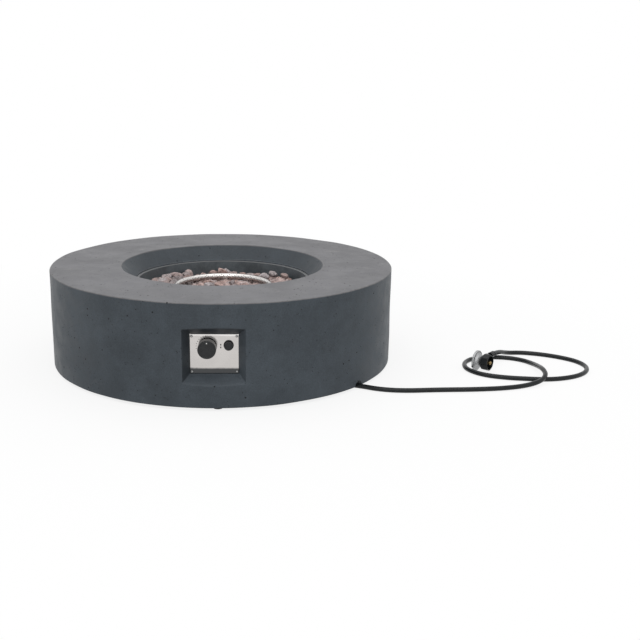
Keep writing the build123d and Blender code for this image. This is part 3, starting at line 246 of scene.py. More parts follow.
def rounded(corners, radii, steps=5):
    """An open outline with its corners turned to arcs, and a flag for each point that lies on an arc.

    At a corner with radius r the arc touches both sides r / tan(half angle) away from it.
    """
    corners = np.asarray(corners, float)
    points, on_arc = [corners[0]], [0.0]
    for before, corner, after, radius in zip(corners, corners[1:], corners[2:], radii):
        if radius <= 0:
            points.append(corner)
            on_arc.append(0.0)
            continue
        to_before = (before - corner) / np.linalg.norm(before - corner)
        to_after = (after - corner) / np.linalg.norm(after - corner)
        half = math.acos(float(np.clip(to_before @ to_after, -1, 1))) / 2
        inward = to_before + to_after
        centre = corner + inward / np.linalg.norm(inward) * radius / math.sin(half)
        reach = radius / math.tan(half)
        first = corner + to_before * reach - centre
        last = corner + to_after * reach - centre
        sweep = math.pi - 2 * half
        for share in np.linspace(0, 1, steps + 1):
            spoke = (math.sin((1 - share) * sweep) * first + math.sin(share * sweep) * last) / math.sin(sweep)
            points.append(centre + spoke)
            on_arc.append(math.sin(math.pi * (0.15 + 0.7 * share)))
    points.append(corners[-1])
    on_arc.append(0.0)
    return np.array(points), np.array(on_arc)


def profile(corners, radii):
    """The points of a rounded outline, without the flags."""
    return rounded(corners, radii)[0]


def divided(points, on_arc, spacing, guard=0.0015):
    """The same outline with long runs divided, and a guard point close to each end of them."""
    new_points, new_flags = [points[0]], [on_arc[0]]
    for start, end, flag in zip(points, points[1:], on_arc[1:]):
        length = float(np.linalg.norm(end - start))
        if length > 4 * guard:
            inner = np.linspace(guard, length - guard, max(2, int(length / spacing) + 2)) / length
            new_points += [start + (end - start) * share for share in inner]
            new_flags += [0.0] * len(inner)
        new_points.append(end)
        new_flags.append(flag)
    return np.array(new_points), np.array(new_flags)


def turned(outline, columns):
    """An outline of (radius, height) carried round Z: (r sin a, -r cos a, h), with a = 0 at the front."""
    angle = np.arange(columns) * TAU / columns
    radius, height = outline[:, :1], outline[:, 1:]
    return np.stack([radius * np.sin(angle), -radius * np.cos(angle), height + 0 * angle], -1)


def spun(outline, columns):
    """An outline of (radius, reach) carried round a local Z axis: (r cos a, r sin a, reach)."""
    angle = np.arange(columns) * TAU / columns
    radius, reach = outline[:, :1], outline[:, 1:]
    return np.stack([radius * np.cos(angle), radius * np.sin(angle), reach + 0 * angle], -1)


def waves(points, seed, count, wavelength, height):
    """Slow unevenness: the sum of sin(2 pi d.p / length + phase) over random directions d."""
    dice = np.random.default_rng(seed)
    direction = dice.normal(size=(3, count))
    direction /= np.linalg.norm(direction, axis=0)
    length = wavelength * dice.uniform(0.6, 1.7, count)
    phase = dice.uniform(0, TAU, count)
    turns = points @ (direction * TAU / length) + phase
    return height * math.sqrt(2 / count) * np.sin(turns).sum(-1)


def on_panel(points, x=0.0, z=PANEL_Z):
    """Points of the panel frame (right, up, out of the recess) in the object's frame."""
    points = np.asarray(points, float)
    return np.stack([x + points[..., 0], PANEL_Y - points[..., 2], z + points[..., 1]], -1)


def at_regulator(points):
    """Points of the regulator frame (hose outlet, up, nut's axis) in the object's frame."""
    along = np.array(NUT_JOINT["axis"])
    outlet = np.array([-along[1], along[0], 0.0])
    return np.array(NUT_JOINT["pos_m"]) + np.asarray(points, float) @ np.array([outlet, (0, 0, 1), along])


def quads(rows, columns, wrap_rows, wrap_columns):
    """Corner numbers of the faces of a grid of points, joined end to end where it wraps."""
    row = np.arange(rows if wrap_rows else rows - 1)[:, None]
    column = np.arange(columns if wrap_columns else columns - 1)[None, :]
    next_row, next_column = (row + 1) % rows, (column + 1) % columns
    corners = [
        row * columns + column,
        row * columns + next_column,
        next_row * columns + next_column,
        next_row * columns + column,
    ]
    return np.stack(np.broadcast_arrays(*corners), -1).reshape(-1, 4)


class Shell:
    """Grids of points gathered into one mesh, with a number on each point for the finish to read."""

    def __init__(self):
        self.points, self.faces, self.marks, self.count = [], [], [], 0

    def add(self, grid, wrap_rows=False, wrap_columns=True, marks=0.0):
        """Adds an array of shape (rows, columns, 3), or many of them stacked."""
        grid = np.asarray(grid, float)
        rows, columns = grid.shape[-3:-1]
        copies = grid.reshape(-1, rows * columns, 3)
        faces = quads(rows, columns, wrap_rows, wrap_columns)
        starts = self.count + np.arange(len(copies))[:, None, None] * rows * columns
        self.faces.append((faces[None] + starts).reshape(-1, 4))
        self.points.append(copies.reshape(-1, 3))
        self.marks.append(np.broadcast_to(marks, grid.shape[:-1]).reshape(-1).astype(float))
        self.count += copies.shape[0] * rows * columns
        return self

    def mesh(self, name, merge=1e-6, sharp=40.0):
        """One mesh with seams and poles merged, faces outwards and edges sharp past an angle."""
        mesh = bpy.data.meshes.new(name)
        mesh.from_pydata(np.concatenate(self.points).tolist(), [], np.concatenate(self.faces).tolist())
        mesh.attributes.new("mark", "FLOAT", "POINT").data.foreach_set("value", np.concatenate(self.marks))
        finish_mesh(mesh, merge, sharp)
        return mesh


def finish_mesh(mesh, merge, sharp):
    """Merges doubles, drops flat faces, turns faces outwards and sets smooth shading with sharp edges."""
    work = bmesh.new()
    work.from_mesh(mesh)
    bmesh.ops.remove_doubles(work, verts=work.verts, dist=merge)
    bmesh.ops.dissolve_degenerate(work, edges=work.edges, dist=merge)
    bmesh.ops.recalc_face_normals(work, faces=work.faces)
    work.to_mesh(mesh)
    work.free()
    mesh.polygons.foreach_set("use_smooth", [True] * len(mesh.polygons))
    mesh.set_sharp_from_angle(angle=math.radians(sharp))


def place(name, mesh, finish, body, nodes=()):
    """Puts a mesh into the scene as a piece on a body, in the place of the nodes that it stands for."""
    piece = bpy.data.objects.new(name, mesh)
    bpy.context.scene.collection.objects.link(piece)
    mesh.materials.clear()
    mesh.materials.append(finish)
    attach(piece, body)
    if nodes:
        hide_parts(*nodes)
    return piece


# Finishes


class Nodes:
    """Short calls that add nodes to a tree and join them."""

    def __init__(self, tree):
        self.tree = tree
        self.tree.nodes.clear()

    def feed(self, socket, value):
        """Joins an output to an input, or sets a plain value on it."""
        if isinstance(value, bpy.types.NodeSocket):
            self.tree.links.new(value, socket)
        elif hasattr(value, "__len__") and len(value) == 3 and socket.type == "RGBA":
            socket.default_value = (*value, 1.0)
        else:
            socket.default_value = value

    def node(self, kind, inputs, output=0, **settings):
        """Adds a node and gives back one of its outputs, where it has any."""
        node = self.tree.nodes.new(kind)
        for key, value in settings.items():
            setattr(node, key, value)
        for key, value in inputs.items():
            self.feed(node.inputs[key], value)
        return node.outputs[output] if node.outputs else None

    def maths(self, operation, first, second):
        return self.node("ShaderNodeMath", {0: first, 1: second}, operation=operation)

    def product(self, first, second):
        return self.maths("MULTIPLY", first, second)

    def larger(self, first, second):
        return self.maths("MAXIMUM", first, second)

    def seen_directly(self):
        """1 for rays from the camera, mirrors and glass, and 0 for light that surfaces pass on."""
        names = ("Is Camera Ray", "Is Glossy Ray", "Is Transmission Ray")
        camera, mirror, glass = (self.node("ShaderNodeLightPath", {}, name) for name in names)
        return self.larger(self.larger(camera, mirror), glass)


class Finish(Nodes):
    """A procedural material on one Principled shader."""

    def __init__(self, name, **constants):
        self.material = bpy.data.materials.new(name)
        self.material.use_nodes = True
        super().__init__(self.material.node_tree)
        self.shader = self.tree.nodes.new("ShaderNodeBsdfPrincipled")
        self.node("ShaderNodeOutputMaterial", {"Surface": self.shader.outputs["BSDF"]})
        for socket, value in constants.items():
            self.shader.inputs[socket.replace("_", " ")].default_value = value
        self.place = self.node("ShaderNodeTexCoord", {}, "Object")

    def stretched(self, scale, turn=(0, 0, 0)):
        """Object coordinates stretched along each axis, so a pattern runs one way."""
        return self.node("ShaderNodeMapping", {"Vector": self.place, "Scale": scale, "Rotation": turn})

    def noise(self, scale, detail=4.0, rough=0.55, vector=None, distortion=0.0):
        inputs = {"Vector": vector or self.place, "Scale": scale, "Detail": detail, "Roughness": rough}
        return self.node("ShaderNodeTexNoise", {**inputs, "Distortion": distortion})

    def cells(self, scale):
        return self.node("ShaderNodeTexVoronoi", {"Vector": self.place, "Scale": scale})

    def mark(self):
        return self.node("ShaderNodeAttribute", {}, "Fac", attribute_name="mark")

    def height(self):
        return self.node("ShaderNodeSeparateXYZ", {"Vector": self.place}, "Z")

    def span(self, value, low, high, to_low=0.0, to_high=1.0):
        """A value carried from one range to another, held at the ends."""
        inputs = {"Value": value, "From Min": low, "From Max": high, "To Min": to_low, "To Max": to_high}
        return self.node("ShaderNodeMapRange", inputs, interpolation_type="SMOOTHSTEP")

    def swing(self, pattern, low, high):
        """The middle of a noise pattern carried to a range."""
        return self.span(pattern, 0.3, 0.7, low, high)

    def mix(self, share, first, second, blend="MIX"):
        inputs = {0: share, 6: first, 7: second}
        return self.node("ShaderNodeMix", inputs, 2, data_type="RGBA", blend_type=blend)

    def times(self, colour, tone):
        return self.mix(1.0, colour, tone, "MULTIPLY")

    def bump(self, height, strength, depth, under=None):
        inputs = {"Height": height, "Strength": strength, "Distance": depth}
        if under:
            inputs["Normal"] = under
        return self.node("ShaderNodeBump", inputs)

    def done(self, colour, roughness, normal):
        """Joins what is given to the shader; a roughness of None keeps the constant."""
        self.feed(self.shader.inputs["Base Color"], colour)
        self.feed(self.shader.inputs["Normal"], normal)
        if roughness is not None:
            self.feed(self.shader.inputs["Roughness"], roughness)
        return self.material


def concrete():
    """Sealed cast concrete: cloudy greys, a dull sheen, a top painted paler for dust and sheen, rubbed edges
    with a painted highlight, trowel smudges and small air holes painted dark as their shade.

    A positive mark is a rubbed edge, worn pale and painted as a highlight; a negative one is painted shade in
    the recess and on the bowl's cone.
    """
    drum = bpy.context.scene.fire_pit_drum
    finish = Finish("cast_concrete", Specular_IOR_Level=0.22)
    clouds = finish.noise(5.5, 6.0, 0.62, distortion=0.5)
    patches = finish.noise(24.0, 6.0, 0.65, distortion=0.3)
    grain = finish.noise(300.0, 4.0, 0.7)
    top = finish.span(finish.height(), DRUM_TOP - 0.004, DRUM_TOP - 0.0015)
    # Painted sheen: the top face takes the paler top colour.
    colour = finish.mix(top, drum.side_colour, drum.top_dust_and_sheen_colour)
    for pattern, low, high in ((clouds, 0.86, 1.15), (patches, 0.91, 1.09), (grain, 0.87, 1.13)):
        colour = finish.times(colour, finish.swing(pattern, low, high))
    smear = finish.noise(8.0, 5.0, 0.62, finish.stretched((1.0, 2.2, 1.0), (0, 0, 0.5)), 1.0)
    smear = finish.product(finish.span(smear, 0.58, 0.74, 0.0, 0.5), finish.span(top, 0.0, 1.0, 0.16, 1.0))
    smudge = finish.product(finish.span(patches, 0.63, 0.72, 0.0, 0.6), top)
    colour = finish.mix(finish.larger(smear, smudge), colour, drum.pale_wear_and_highlight_colour)
    # Rubbed edges: positive marks turn pale, partly as wear and partly as a painted highlight on the arrises.
    scuff = finish.span(finish.noise(60.0, 4.0, 0.7), 0.35, 0.7, 0.15, 0.7)
    rubbed = finish.product(finish.larger(finish.mark(), 0.0), scuff)
    colour = finish.mix(rubbed, colour, drum.pale_wear_and_highlight_colour)
    # Painted shade: negative marks darken the recess walls and the bowl's cone.
    colour = finish.times(colour, finish.span(finish.mark(), -1.0, 0.0, 0.58, 1.0))
    sizes = ((34.0, (0.06, 0.10), 9.0, (0.44, 0.54)), (95.0, (0.08, 0.16), 21.0, (0.47, 0.57)))
    holes = []
    for scale, rim, spread, patch in sizes:
        pits = finish.span(finish.cells(scale), *rim, 1.0, 0.0)
        holes.append(finish.product(pits, finish.span(finish.noise(spread, 2.0), *patch)))
    hole = finish.larger(*holes)
    # Painted shade: the air holes take the near-black pit colour.
    colour = finish.mix(hole, colour, drum.pit_shade_colour)
    rough = finish.maths("ADD", finish.swing(patches, 0.42, 0.56), finish.swing(grain, -0.05, 0.05))
    rough = finish.maths("ADD", rough, finish.product(hole, 0.4))
    relief = finish.bump(finish.noise(38.0, 5.0, 0.6), 0.20, 0.0012)
    relief = finish.bump(grain, 0.22, 0.0005, relief)
    relief = finish.bump(finish.maths("SUBTRACT", 1.0, hole), 0.9, 0.0014, relief)
    return finish.done(colour, rough, relief)


def lava():
    """Porous lava: each stone between red and grey, speckled, with open bubbles of two sizes that are painted
    dark as the shade inside them.
    """
    burner = bpy.context.scene.fire_pit_burner
    finish = Finish("lava_stone", Roughness=0.92)
    colour = finish.mix(finish.mark(), burner.stone_red, burner.stone_grey)
    each = finish.maths("FRACT", finish.product(finish.mark(), 7.3), 0.0)
    colour = finish.times(colour, finish.span(each, 0.0, 1.0, 0.76, 1.14))
    colour = finish.times(colour, finish.swing(finish.noise(70.0, 5.0, 0.65), 0.64, 1.30))
    speck = finish.span(finish.noise(520.0, 3.0, 0.7), 0.60, 0.72, 0.0, 0.35)
    colour = finish.mix(speck, colour, (0.36, 0.27, 0.23))
    pores = finish.span(finish.cells(210.0), 0.12, 0.34, 1.0, 0.0)
    pores = finish.product(pores, finish.span(finish.noise(95.0, 3.0), 0.40, 0.58))
    pores = finish.larger(pores, finish.span(finish.cells(520.0), 0.10, 0.32, 0.7, 0.0))
    # Painted shade: the pores are darkened almost to black.
    colour = finish.mix(pores, colour, (0.030, 0.018, 0.016))
    relief = finish.bump(finish.noise(130.0, 6.0, 0.7), 0.8, 0.003)
    relief = finish.bump(finish.maths("SUBTRACT", 1.0, pores), 0.9, 0.0022, relief)
    return finish.done(colour, None, relief)


def brushed_steel(name, colour, lines, roughness=(0.26, 0.40)):
    """Brushed stainless: fine lines along one axis in tone, roughness and relief; marked hollows are painted
    dark as shade.
    """
    finish = Finish(name, Metallic=1.0)
    grain = finish.noise(1.0, 5.0, 0.7, finish.stretched(lines))
    cloud = finish.noise(22.0, 3.0, 0.5)
    tone = finish.product(finish.swing(grain, 0.90, 1.06), finish.swing(cloud, 0.95, 1.04))
    steel = finish.times(colour, tone)
    # Painted shade: marked hollows, such as the ring's gas ports, go almost black.
    steel = finish.mix(finish.span(finish.mark(), 0.1, 0.5), steel, (0.015, 0.015, 0.016))
    return finish.done(steel, finish.swing(grain, *roughness), finish.bump(grain, 0.10, 0.0002))


def plate_steel():
    """The panel's bright plate: fine level lines, a painted highlight along the top edge and a painted dark
    reflection along the foot.
    """
    finish = Finish("panel_steel", Metallic=1.0)
    grain = finish.noise(1.0, 5.0, 0.7, finish.stretched((4.0, 700.0, 1100.0)))
    cloud = finish.noise(20.0, 3.0, 0.5)
    tone = finish.product(finish.swing(grain, 0.95, 1.04), finish.swing(cloud, 0.96, 1.03))
    colour = finish.times(bpy.context.scene.fire_pit_panel.plate_colour, tone)
    waver = finish.swing(finish.noise(38.0, 3.0), -0.0010, 0.0010)
    level = finish.maths("ADD", finish.height(), waver)
    # Painted highlight: a pale band along the top edge.
    rolled = finish.span(level, PLATE_HIGH.z - 0.0056, PLATE_HIGH.z - 0.0044, 0.0, 0.75)
    colour = finish.mix(rolled, colour, (0.84, 0.82, 0.80))
    # Painted reflection: a dark strip along the foot stands for the shaded sill reflected in the plate.
    painted_foot_reflection = finish.span(level, PLATE_LOW.z + 0.0130, PLATE_LOW.z + 0.0196, 0.95, 0.0)
    colour = finish.mix(painted_foot_reflection, colour, (0.042, 0.045, 0.048))
    return finish.done(colour, finish.swing(grain, 0.10, 0.17), finish.bump(grain, 0.03, 0.0002))


def cast_metal(name, colour, roughness):
    """Die-cast or plated metal: a fine grainy skin with faint clouds in tone and gloss."""
    finish = Finish(name, Metallic=1.0)
    cloud = finish.noise(85.0, 4.0, 0.6)
    return finish.done(
        finish.times(colour, finish.swing(cloud, 0.82, 1.10)),
        finish.swing(cloud, roughness - 0.08, roughness + 0.10),
        finish.bump(finish.noise(900.0, 3.0, 0.6), 0.18, 0.0003),
    )


def moulded(name, colour, roughness, grain=0.12, gloss=0.5):
    """Moulded plastic or rubber: a fine even texture, faint handling marks in the gloss."""
    finish = Finish(name, Specular_IOR_Level=gloss)
    smear = finish.noise(60.0, 4.0, 0.6)
    return finish.done(
        finish.times(colour, finish.swing(smear, 0.80, 1.25)),
        finish.swing(smear, roughness - 0.06, roughness + 0.10),
        finish.bump(finish.noise(1500.0, 2.0, 0.5), grain, 0.0002),
    )


def pan_steel():
    """The pan's dull dark steel, with soot in clouds and a rim painted paler as a highlight."""
    finish = Finish("pan_steel")
    soot = finish.noise(18.0, 5.0, 0.65)
    grain = finish.noise(240.0, 3.0, 0.6)
    tone = finish.product(finish.swing(soot, 0.62, 1.15), finish.swing(grain, 0.9, 1.1))
    colour = finish.times(bpy.context.scene.fire_pit_burner.pan_colour, tone)
    # Painted highlight: the flat rim turns paler.
    rim = finish.span(finish.height(), PAN_HIGH.z - 0.0022, PAN_HIGH.z - 0.0008, 0.0, 0.8)
    colour = finish.mix(rim, colour, (0.12, 0.122, 0.125))
    return finish.done(colour, finish.swing(soot, 0.46, 0.62), finish.bump(grain, 0.15, 0.0003))


# Drum


def inner_radius(z):
    """Radius of the drum's inner wall, which thickens evenly from its foot to the top."""
    drum = bpy.context.scene.fire_pit_drum
    share = (z - DRUM_LOW.z) / (DRUM_TOP - drum.slab - DRUM_LOW.z)
    return DRUM_RADIUS - drum.wall_base - (drum.wall_top - drum.wall_base) * share


def square_edge(across, up):
    """Points round the edge of the square from -1 to 1, anticlockwise from its lower left corner."""
    flat = np.linspace(-1, 1, across + 1)[:-1]
    steep = np.linspace(-1, 1, up + 1)[:-1]
    low, high = -np.ones_like(flat), np.ones_like(flat)
    left, right = -np.ones_like(steep), np.ones_like(steep)
    sides = [(flat, low), (right, steep), (-flat, high), (left, -steep)]
    return np.concatenate([np.stack(side, -1) for side in sides])


def rectangle(edge, half_width, half_height, radius):
    """A rounded rectangle from points of the square's edge, drawn to the corners by sin(pi s / 2)."""
    x = half_width * np.sin(edge[:, 0] * math.pi / 2)
    z = half_height * np.sin(edge[:, 1] * math.pi / 2)
    past_x = np.abs(x) - (half_width - radius)
    past_z = np.abs(z) - (half_height - radius)
    eighth = math.pi / 4
    angle = np.where(past_x >= past_z, eighth * past_z / radius, 2 * eighth - eighth * past_x / radius)
    corner = (past_x > 0) & (past_z > 0)
    round_x = np.sign(x) * (half_width - radius + radius * np.cos(angle))
    round_z = np.sign(z) * (half_height - radius + radius * np.sin(angle))
    return np.where(corner, round_x, x), np.where(corner, round_z, z)


def curve_through(first, middle, last, steps):
    """Quadratic curve loops from one loop to another, pulled towards the loop between them."""
    share = np.linspace(0, 1, steps + 1)[:, None, None]
    return (1 - share) ** 2 * first + 2 * share * (1 - share) * middle + share**2 * last


def recess_loops(edge, sector, outer_rows, inner_rows):
    """Loops from the drum's outer face into the recess, through its back and out on the inner wall.

    A loop is a rounded rectangle in the panel's plane. Outside, y = -sqrt(R^2 - x^2). On the recess walls the
    loop widens by d = reach tan(taper), and the mouth is where both surfaces meet.
    """
    drum = bpy.context.scene.fire_pit_drum
    radius = drum.recess_corner
    half_width, half_height = (half + PLATE_GAP for half in PLATE_HALF)
    ledge, margin, backing = 0.002, 0.030, 0.019
    aperture = {"width": 0.050, "height": 0.031, "x": 0.008, "z": PANEL_Z + 0.018}
    slope = math.tan(drum.recess_taper)
    arris = 0.8 * drum.arris

    def on_wall(x, z, wall):
        return np.stack([x, -np.sqrt(wall**2 - x**2), z], -1)

    def level(width, height, y, x=0.0, z=PANEL_Z):
        flat_x, flat_z = rectangle(edge, width, height, radius)
        return np.stack([flat_x + x, np.full_like(flat_x, y), flat_z + z], -1)

    def sector_loop(rows, wall):
        z = rows[0] + (rows[-1] - rows[0]) * (edge[:, 1] + 1) / 2
        angle = edge[:, 0] * sector
        reach = wall(z)
        return np.stack([reach * np.sin(angle), -reach * np.cos(angle), z], -1)

    outside = sector_loop(outer_rows, lambda z: np.full_like(z, DRUM_RADIUS))
    widen = np.full(len(edge), 0.02)
    for _ in range(12):
        x, z = rectangle(edge, half_width + widen, half_height + widen, radius)
        widen = (np.sqrt(DRUM_RADIUS**2 - x**2) + PANEL_Y) * slope
    mouth = on_wall(x, z + PANEL_Z, DRUM_RADIUS)
    x, z = rectangle(edge, half_width + widen + arris, half_height + widen + arris, radius)
    wall_side = on_wall(x, z + PANEL_Z, DRUM_RADIUS)

    def on_slope(wide):
        flat_x, flat_z = rectangle(edge, half_width + wide, half_height + wide, radius)
        return np.stack([flat_x, PANEL_Y - wide / slope + 0 * flat_x, flat_z + PANEL_Z], -1)

    slope_side = on_slope(widen - arris * math.sin(drum.recess_taper))
    loops = [outside]
    for share in (0.35, 0.65, 0.85, 0.95):
        blend = outside + (wall_side - outside) * share
        loops.append(on_wall(blend[:, 0], blend[:, 2], DRUM_RADIUS))
    marks = [0.0] * len(loops)
    loops += list(curve_through(wall_side, mouth, slope_side, 4))
    # Marks down the mouth: small positive ones on its arris for wear and a painted highlight, then negative
    # ones inside for painted shade.
    marks += [0.0, 0.1, 0.15, -0.3, -0.8]
    loops += [on_slope(widen * share) for share in (0.7, 0.4, 0.12)]
    marks += [-1.0] * 3
    floor = level(half_width - ledge, half_height - ledge, PANEL_Y)
    loops += list(curve_through(on_slope(0.05 * widen), on_slope(0 * widen), floor, 3))
    marks += [-1.0] * (len(loops) - len(marks))
    back = PANEL_Y + backing
    loops += [level(y=PANEL_Y, **aperture), level(y=back, **aperture)]
    loops.append(level(half_width + margin, half_height + margin, back))
    pad_x, pad_z = rectangle(edge, half_width + margin, half_height + margin, radius)
    pad = on_wall(pad_x, pad_z + PANEL_Z, inner_radius(pad_z + PANEL_Z))
    inside = sector_loop(inner_rows, inner_radius)
    loops.append(pad)
    blend = (pad + inside) / 2
    loops += [on_wall(blend[:, 0], blend[:, 2], inner_radius(blend[:, 2])), inside]
    marks += [0.0] * (len(loops) - len(marks))
    # Painted shade is taken off the sill and eased on the right wall, where more light falls.
    sill = np.clip((-edge[:, 1] - 0.9) / 0.1, 0, 1)
    lit_side = np.clip((edge[:, 0] - 0.9) / 0.1, 0, 1)
    return np.stack(loops), np.array(marks)[:, None] * np.clip(1 - sill - 0.7 * lit_side, 0, 1)


def drum_shell():
    """The drum as one closed surface: turned top and foot, two walls, and the recess in the front sector."""
    drum = bpy.context.scene.fire_pit_drum
    columns, half_sector, rows = 360, 16, 26
    radius, top, base = DRUM_RADIUS, DRUM_TOP, DRUM_LOW.z
    ledge = top - drum.ledge_depth
    seat = PAN_HIGH.x + 0.0005
    throat = PAN_HIGH.x - bpy.context.scene.fire_pit_burner.pan_rim + 0.001
    under = top - drum.slab
    outer_rows = np.linspace(base + drum.arris, top - drum.arris, rows + 1)
    inner_rows = np.linspace(base + 0.002, under - 1.2 * drum.inner_corner, rows + 1)
    crown, marks = rounded(
        [
            (radius, outer_rows[-1]), (radius, top), (drum.opening, top), (seat, ledge + drum.ledge_step),
            (seat, ledge), (throat, ledge), (throat, ledge - drum.throat_depth),
            (throat + drum.bowl_wall, ledge - drum.throat_depth), (drum.opening + drum.bowl_undercut, under),
            (inner_radius(under), under), (inner_radius(inner_rows[-1]), inner_rows[-1]),
        ],
        [drum.arris * 0.999, drum.arris, 0.0012, 0.0008, 0.0012, 0.002, 0.002, 0.004, drum.inner_corner],
    )
    crown, marks = divided(crown, marks, 0.012)
    marks *= crown[:, 1] > ledge + drum.ledge_step / 2
    # Painted shade: the bowl's cone takes a negative mark, which darkens it.
    in_cone = (crown[:, 0] < drum.opening - 0.001) & (crown[:, 1] > ledge + drum.ledge_step)
    marks = np.where(in_cone & (marks == 0), -0.62, marks)
    foot = profile(
        [(inner_radius(inner_rows[0]), inner_rows[0]), (inner_radius(base), base), (radius, base),
         (radius, outer_rows[0])],
        [0.0, drum.arris * 0.999],
    )
    shell = Shell()
    shell.add(turned(crown, columns), marks=marks[:, None])
    shell.add(turned(foot, columns))
    angle = np.radians(np.arange(half_sector, columns - half_sector + 1))
    for heights, wall in ((outer_rows, np.full(rows + 1, radius)), (inner_rows, inner_radius(inner_rows))):
        reach, height = wall[:, None], heights[:, None]
        grid = np.stack([reach * np.sin(angle), -reach * np.cos(angle), height + 0 * angle], -1)
        shell.add(grid, wrap_columns=False)
    edge = square_edge(2 * half_sector, rows)
    loops, loop_marks = recess_loops(edge, math.radians(half_sector), outer_rows, inner_rows)
    shell.add(loops, marks=loop_marks)
    for index, points in enumerate(shell.points):
        shift = [waves(points, seed, 18, 0.16, drum.waviness) for seed in (3, 4, 5)]
        shell.points[index] = points + np.stack(shift, -1)
    return shell


def cut_away(piece, cutter_mesh):
    """Cuts a closed mesh out of a piece."""
    cutter = bpy.data.objects.new("cutter", cutter_mesh)
    bpy.context.scene.collection.objects.link(cutter)
    modifier = piece.modifiers.new("cut", "BOOLEAN")
    modifier.operation, modifier.solver, modifier.object = "DIFFERENCE", "EXACT", cutter
    graph = bpy.context.evaluated_depsgraph_get()
    cut = bpy.data.meshes.new_from_object(piece.evaluated_get(graph))
    piece.modifiers.clear()
    piece.data = cut
    bpy.data.objects.remove(cutter)
    return cut


def arch_prism(azimuth, width, height):
    """An arched bar pointing out through the wall: a half circle on two upright sides."""
    arch = width / 2
    turn = np.linspace(0, math.pi, 25)
    x = np.concatenate([[arch], arch * np.cos(turn), [-arch]])
    z = np.concatenate([[-0.02], height - arch + arch * np.sin(turn), [-0.02]])
    heading = math.radians(azimuth)
    out = np.array([math.sin(heading), -math.cos(heading), 0.0])
    side = np.array([math.cos(heading), math.sin(heading), 0.0])
    ring = x[:, None] * side + z[:, None] * np.array([0.0, 0.0, 1.0])
    loops = [ring + out * reach for reach in (DRUM_RADIUS - 0.07, DRUM_RADIUS + 0.05)]
    middle = [np.repeat(loop.mean(0)[None], len(ring), 0) for loop in loops]
    shell = Shell()
    shell.add(np.stack([middle[0], loops[0], loops[1], middle[1]]))
    return shell.mesh("arch")


def foot_places():
    """Centres of the four glides, a degree round from the front, the right, the back and the left."""
    angle = np.radians(1.0 + 90.0 * np.arange(4))
    reach = (FOOT_HIGH.x - FOOT_RADIUS) / math.cos(angle[0])
    return np.stack([reach * np.sin(angle), -reach * np.cos(angle)], -1)


class FIREPIT_OT_drum(Operator):
    """Casts the drum with its bowl, recess, hose notch and foot bosses"""

    bl_idname = "fire_pit.drum"
    bl_label = "Drum"

    def execute(self, context):
        mesh = drum_shell().mesh("cast_drum", merge=2e-6, sharp=30.0)
        piece = place("cast_drum", mesh, concrete(), "fire_pit", ["table_body"])
        cut = cut_away(piece, arch_prism(azimuth=50.5, width=0.034, height=0.025))
        bosses = Shell()
        radius, low, high = 0.022, DRUM_LOW.z, DRUM_LOW.z + 0.040
        outline = profile([(0.0, low), (radius, low), (radius, high), (0.0, high)], [0.0005, 0.003])
        for x, y in foot_places():
            bosses.add(turned(outline, 40) + np.array([x, y, 0.0003]))
        boss_mesh = bosses.mesh("bosses")
        work = bmesh.new()
        work.from_mesh(cut)
        work.from_mesh(boss_mesh)
        work.to_mesh(cut)
        work.free()
        cut.polygons.foreach_set("use_smooth", [True] * len(cut.polygons))
        cut.set_sharp_from_angle(angle=math.radians(30.0))
        return {"FINISHED"}


class FIREPIT_OT_feet(Operator):
    """Moulds the black glides under the drum"""

    bl_idname = "fire_pit.feet"
    bl_label = "Feet"

    def execute(self, context):
        high, wide, neck = FOOT_HIGH.z, FOOT_RADIUS, 0.0136
        outline = profile(
            [(0.0, 0.0), (wide, 0.0), (wide, high * 0.6), (neck, high * 0.72), (neck, high), (0.0, high)],
            [0.0025, 0.001, 0.001, 0.0006],
        )
        shell = Shell()
        for x, y in foot_places():
            shell.add(turned(outline, 48) + np.array([x, y, 0.0]))
        rubber = moulded("foot_rubber", (0.018, 0.018, 0.018), 0.55)
        place("glides", shell.mesh("glides"), rubber, "fire_pit", ["foot_pads"])
        return {"FINISHED"}


# Burner


def pan_outline():
    """Half section of the pan: flat rim, upright wall, round bend and floor, outside and in."""
    burner = bpy.context.scene.fire_pit_burner
    sheet, bend = burner.pan_sheet, burner.pan_bend
    wall = PAN_HIGH.x - burner.pan_rim
    corners = [
        (0.0, PAN_LOW.z), (wall, PAN_LOW.z), (wall, PAN_HIGH.z - sheet), (PAN_HIGH.x, PAN_HIGH.z - sheet),
        (PAN_HIGH.x, PAN_HIGH.z), (wall - sheet, PAN_HIGH.z), (wall - sheet, PAN_LOW.z + sheet),
        (0.0, PAN_LOW.z + sheet),
    ]
    outline, marks = rounded(corners, [bend, 0.0006, 0.0005, 0.0005, 0.0012, bend - sheet])
    return divided(outline, marks, 0.02)[0]


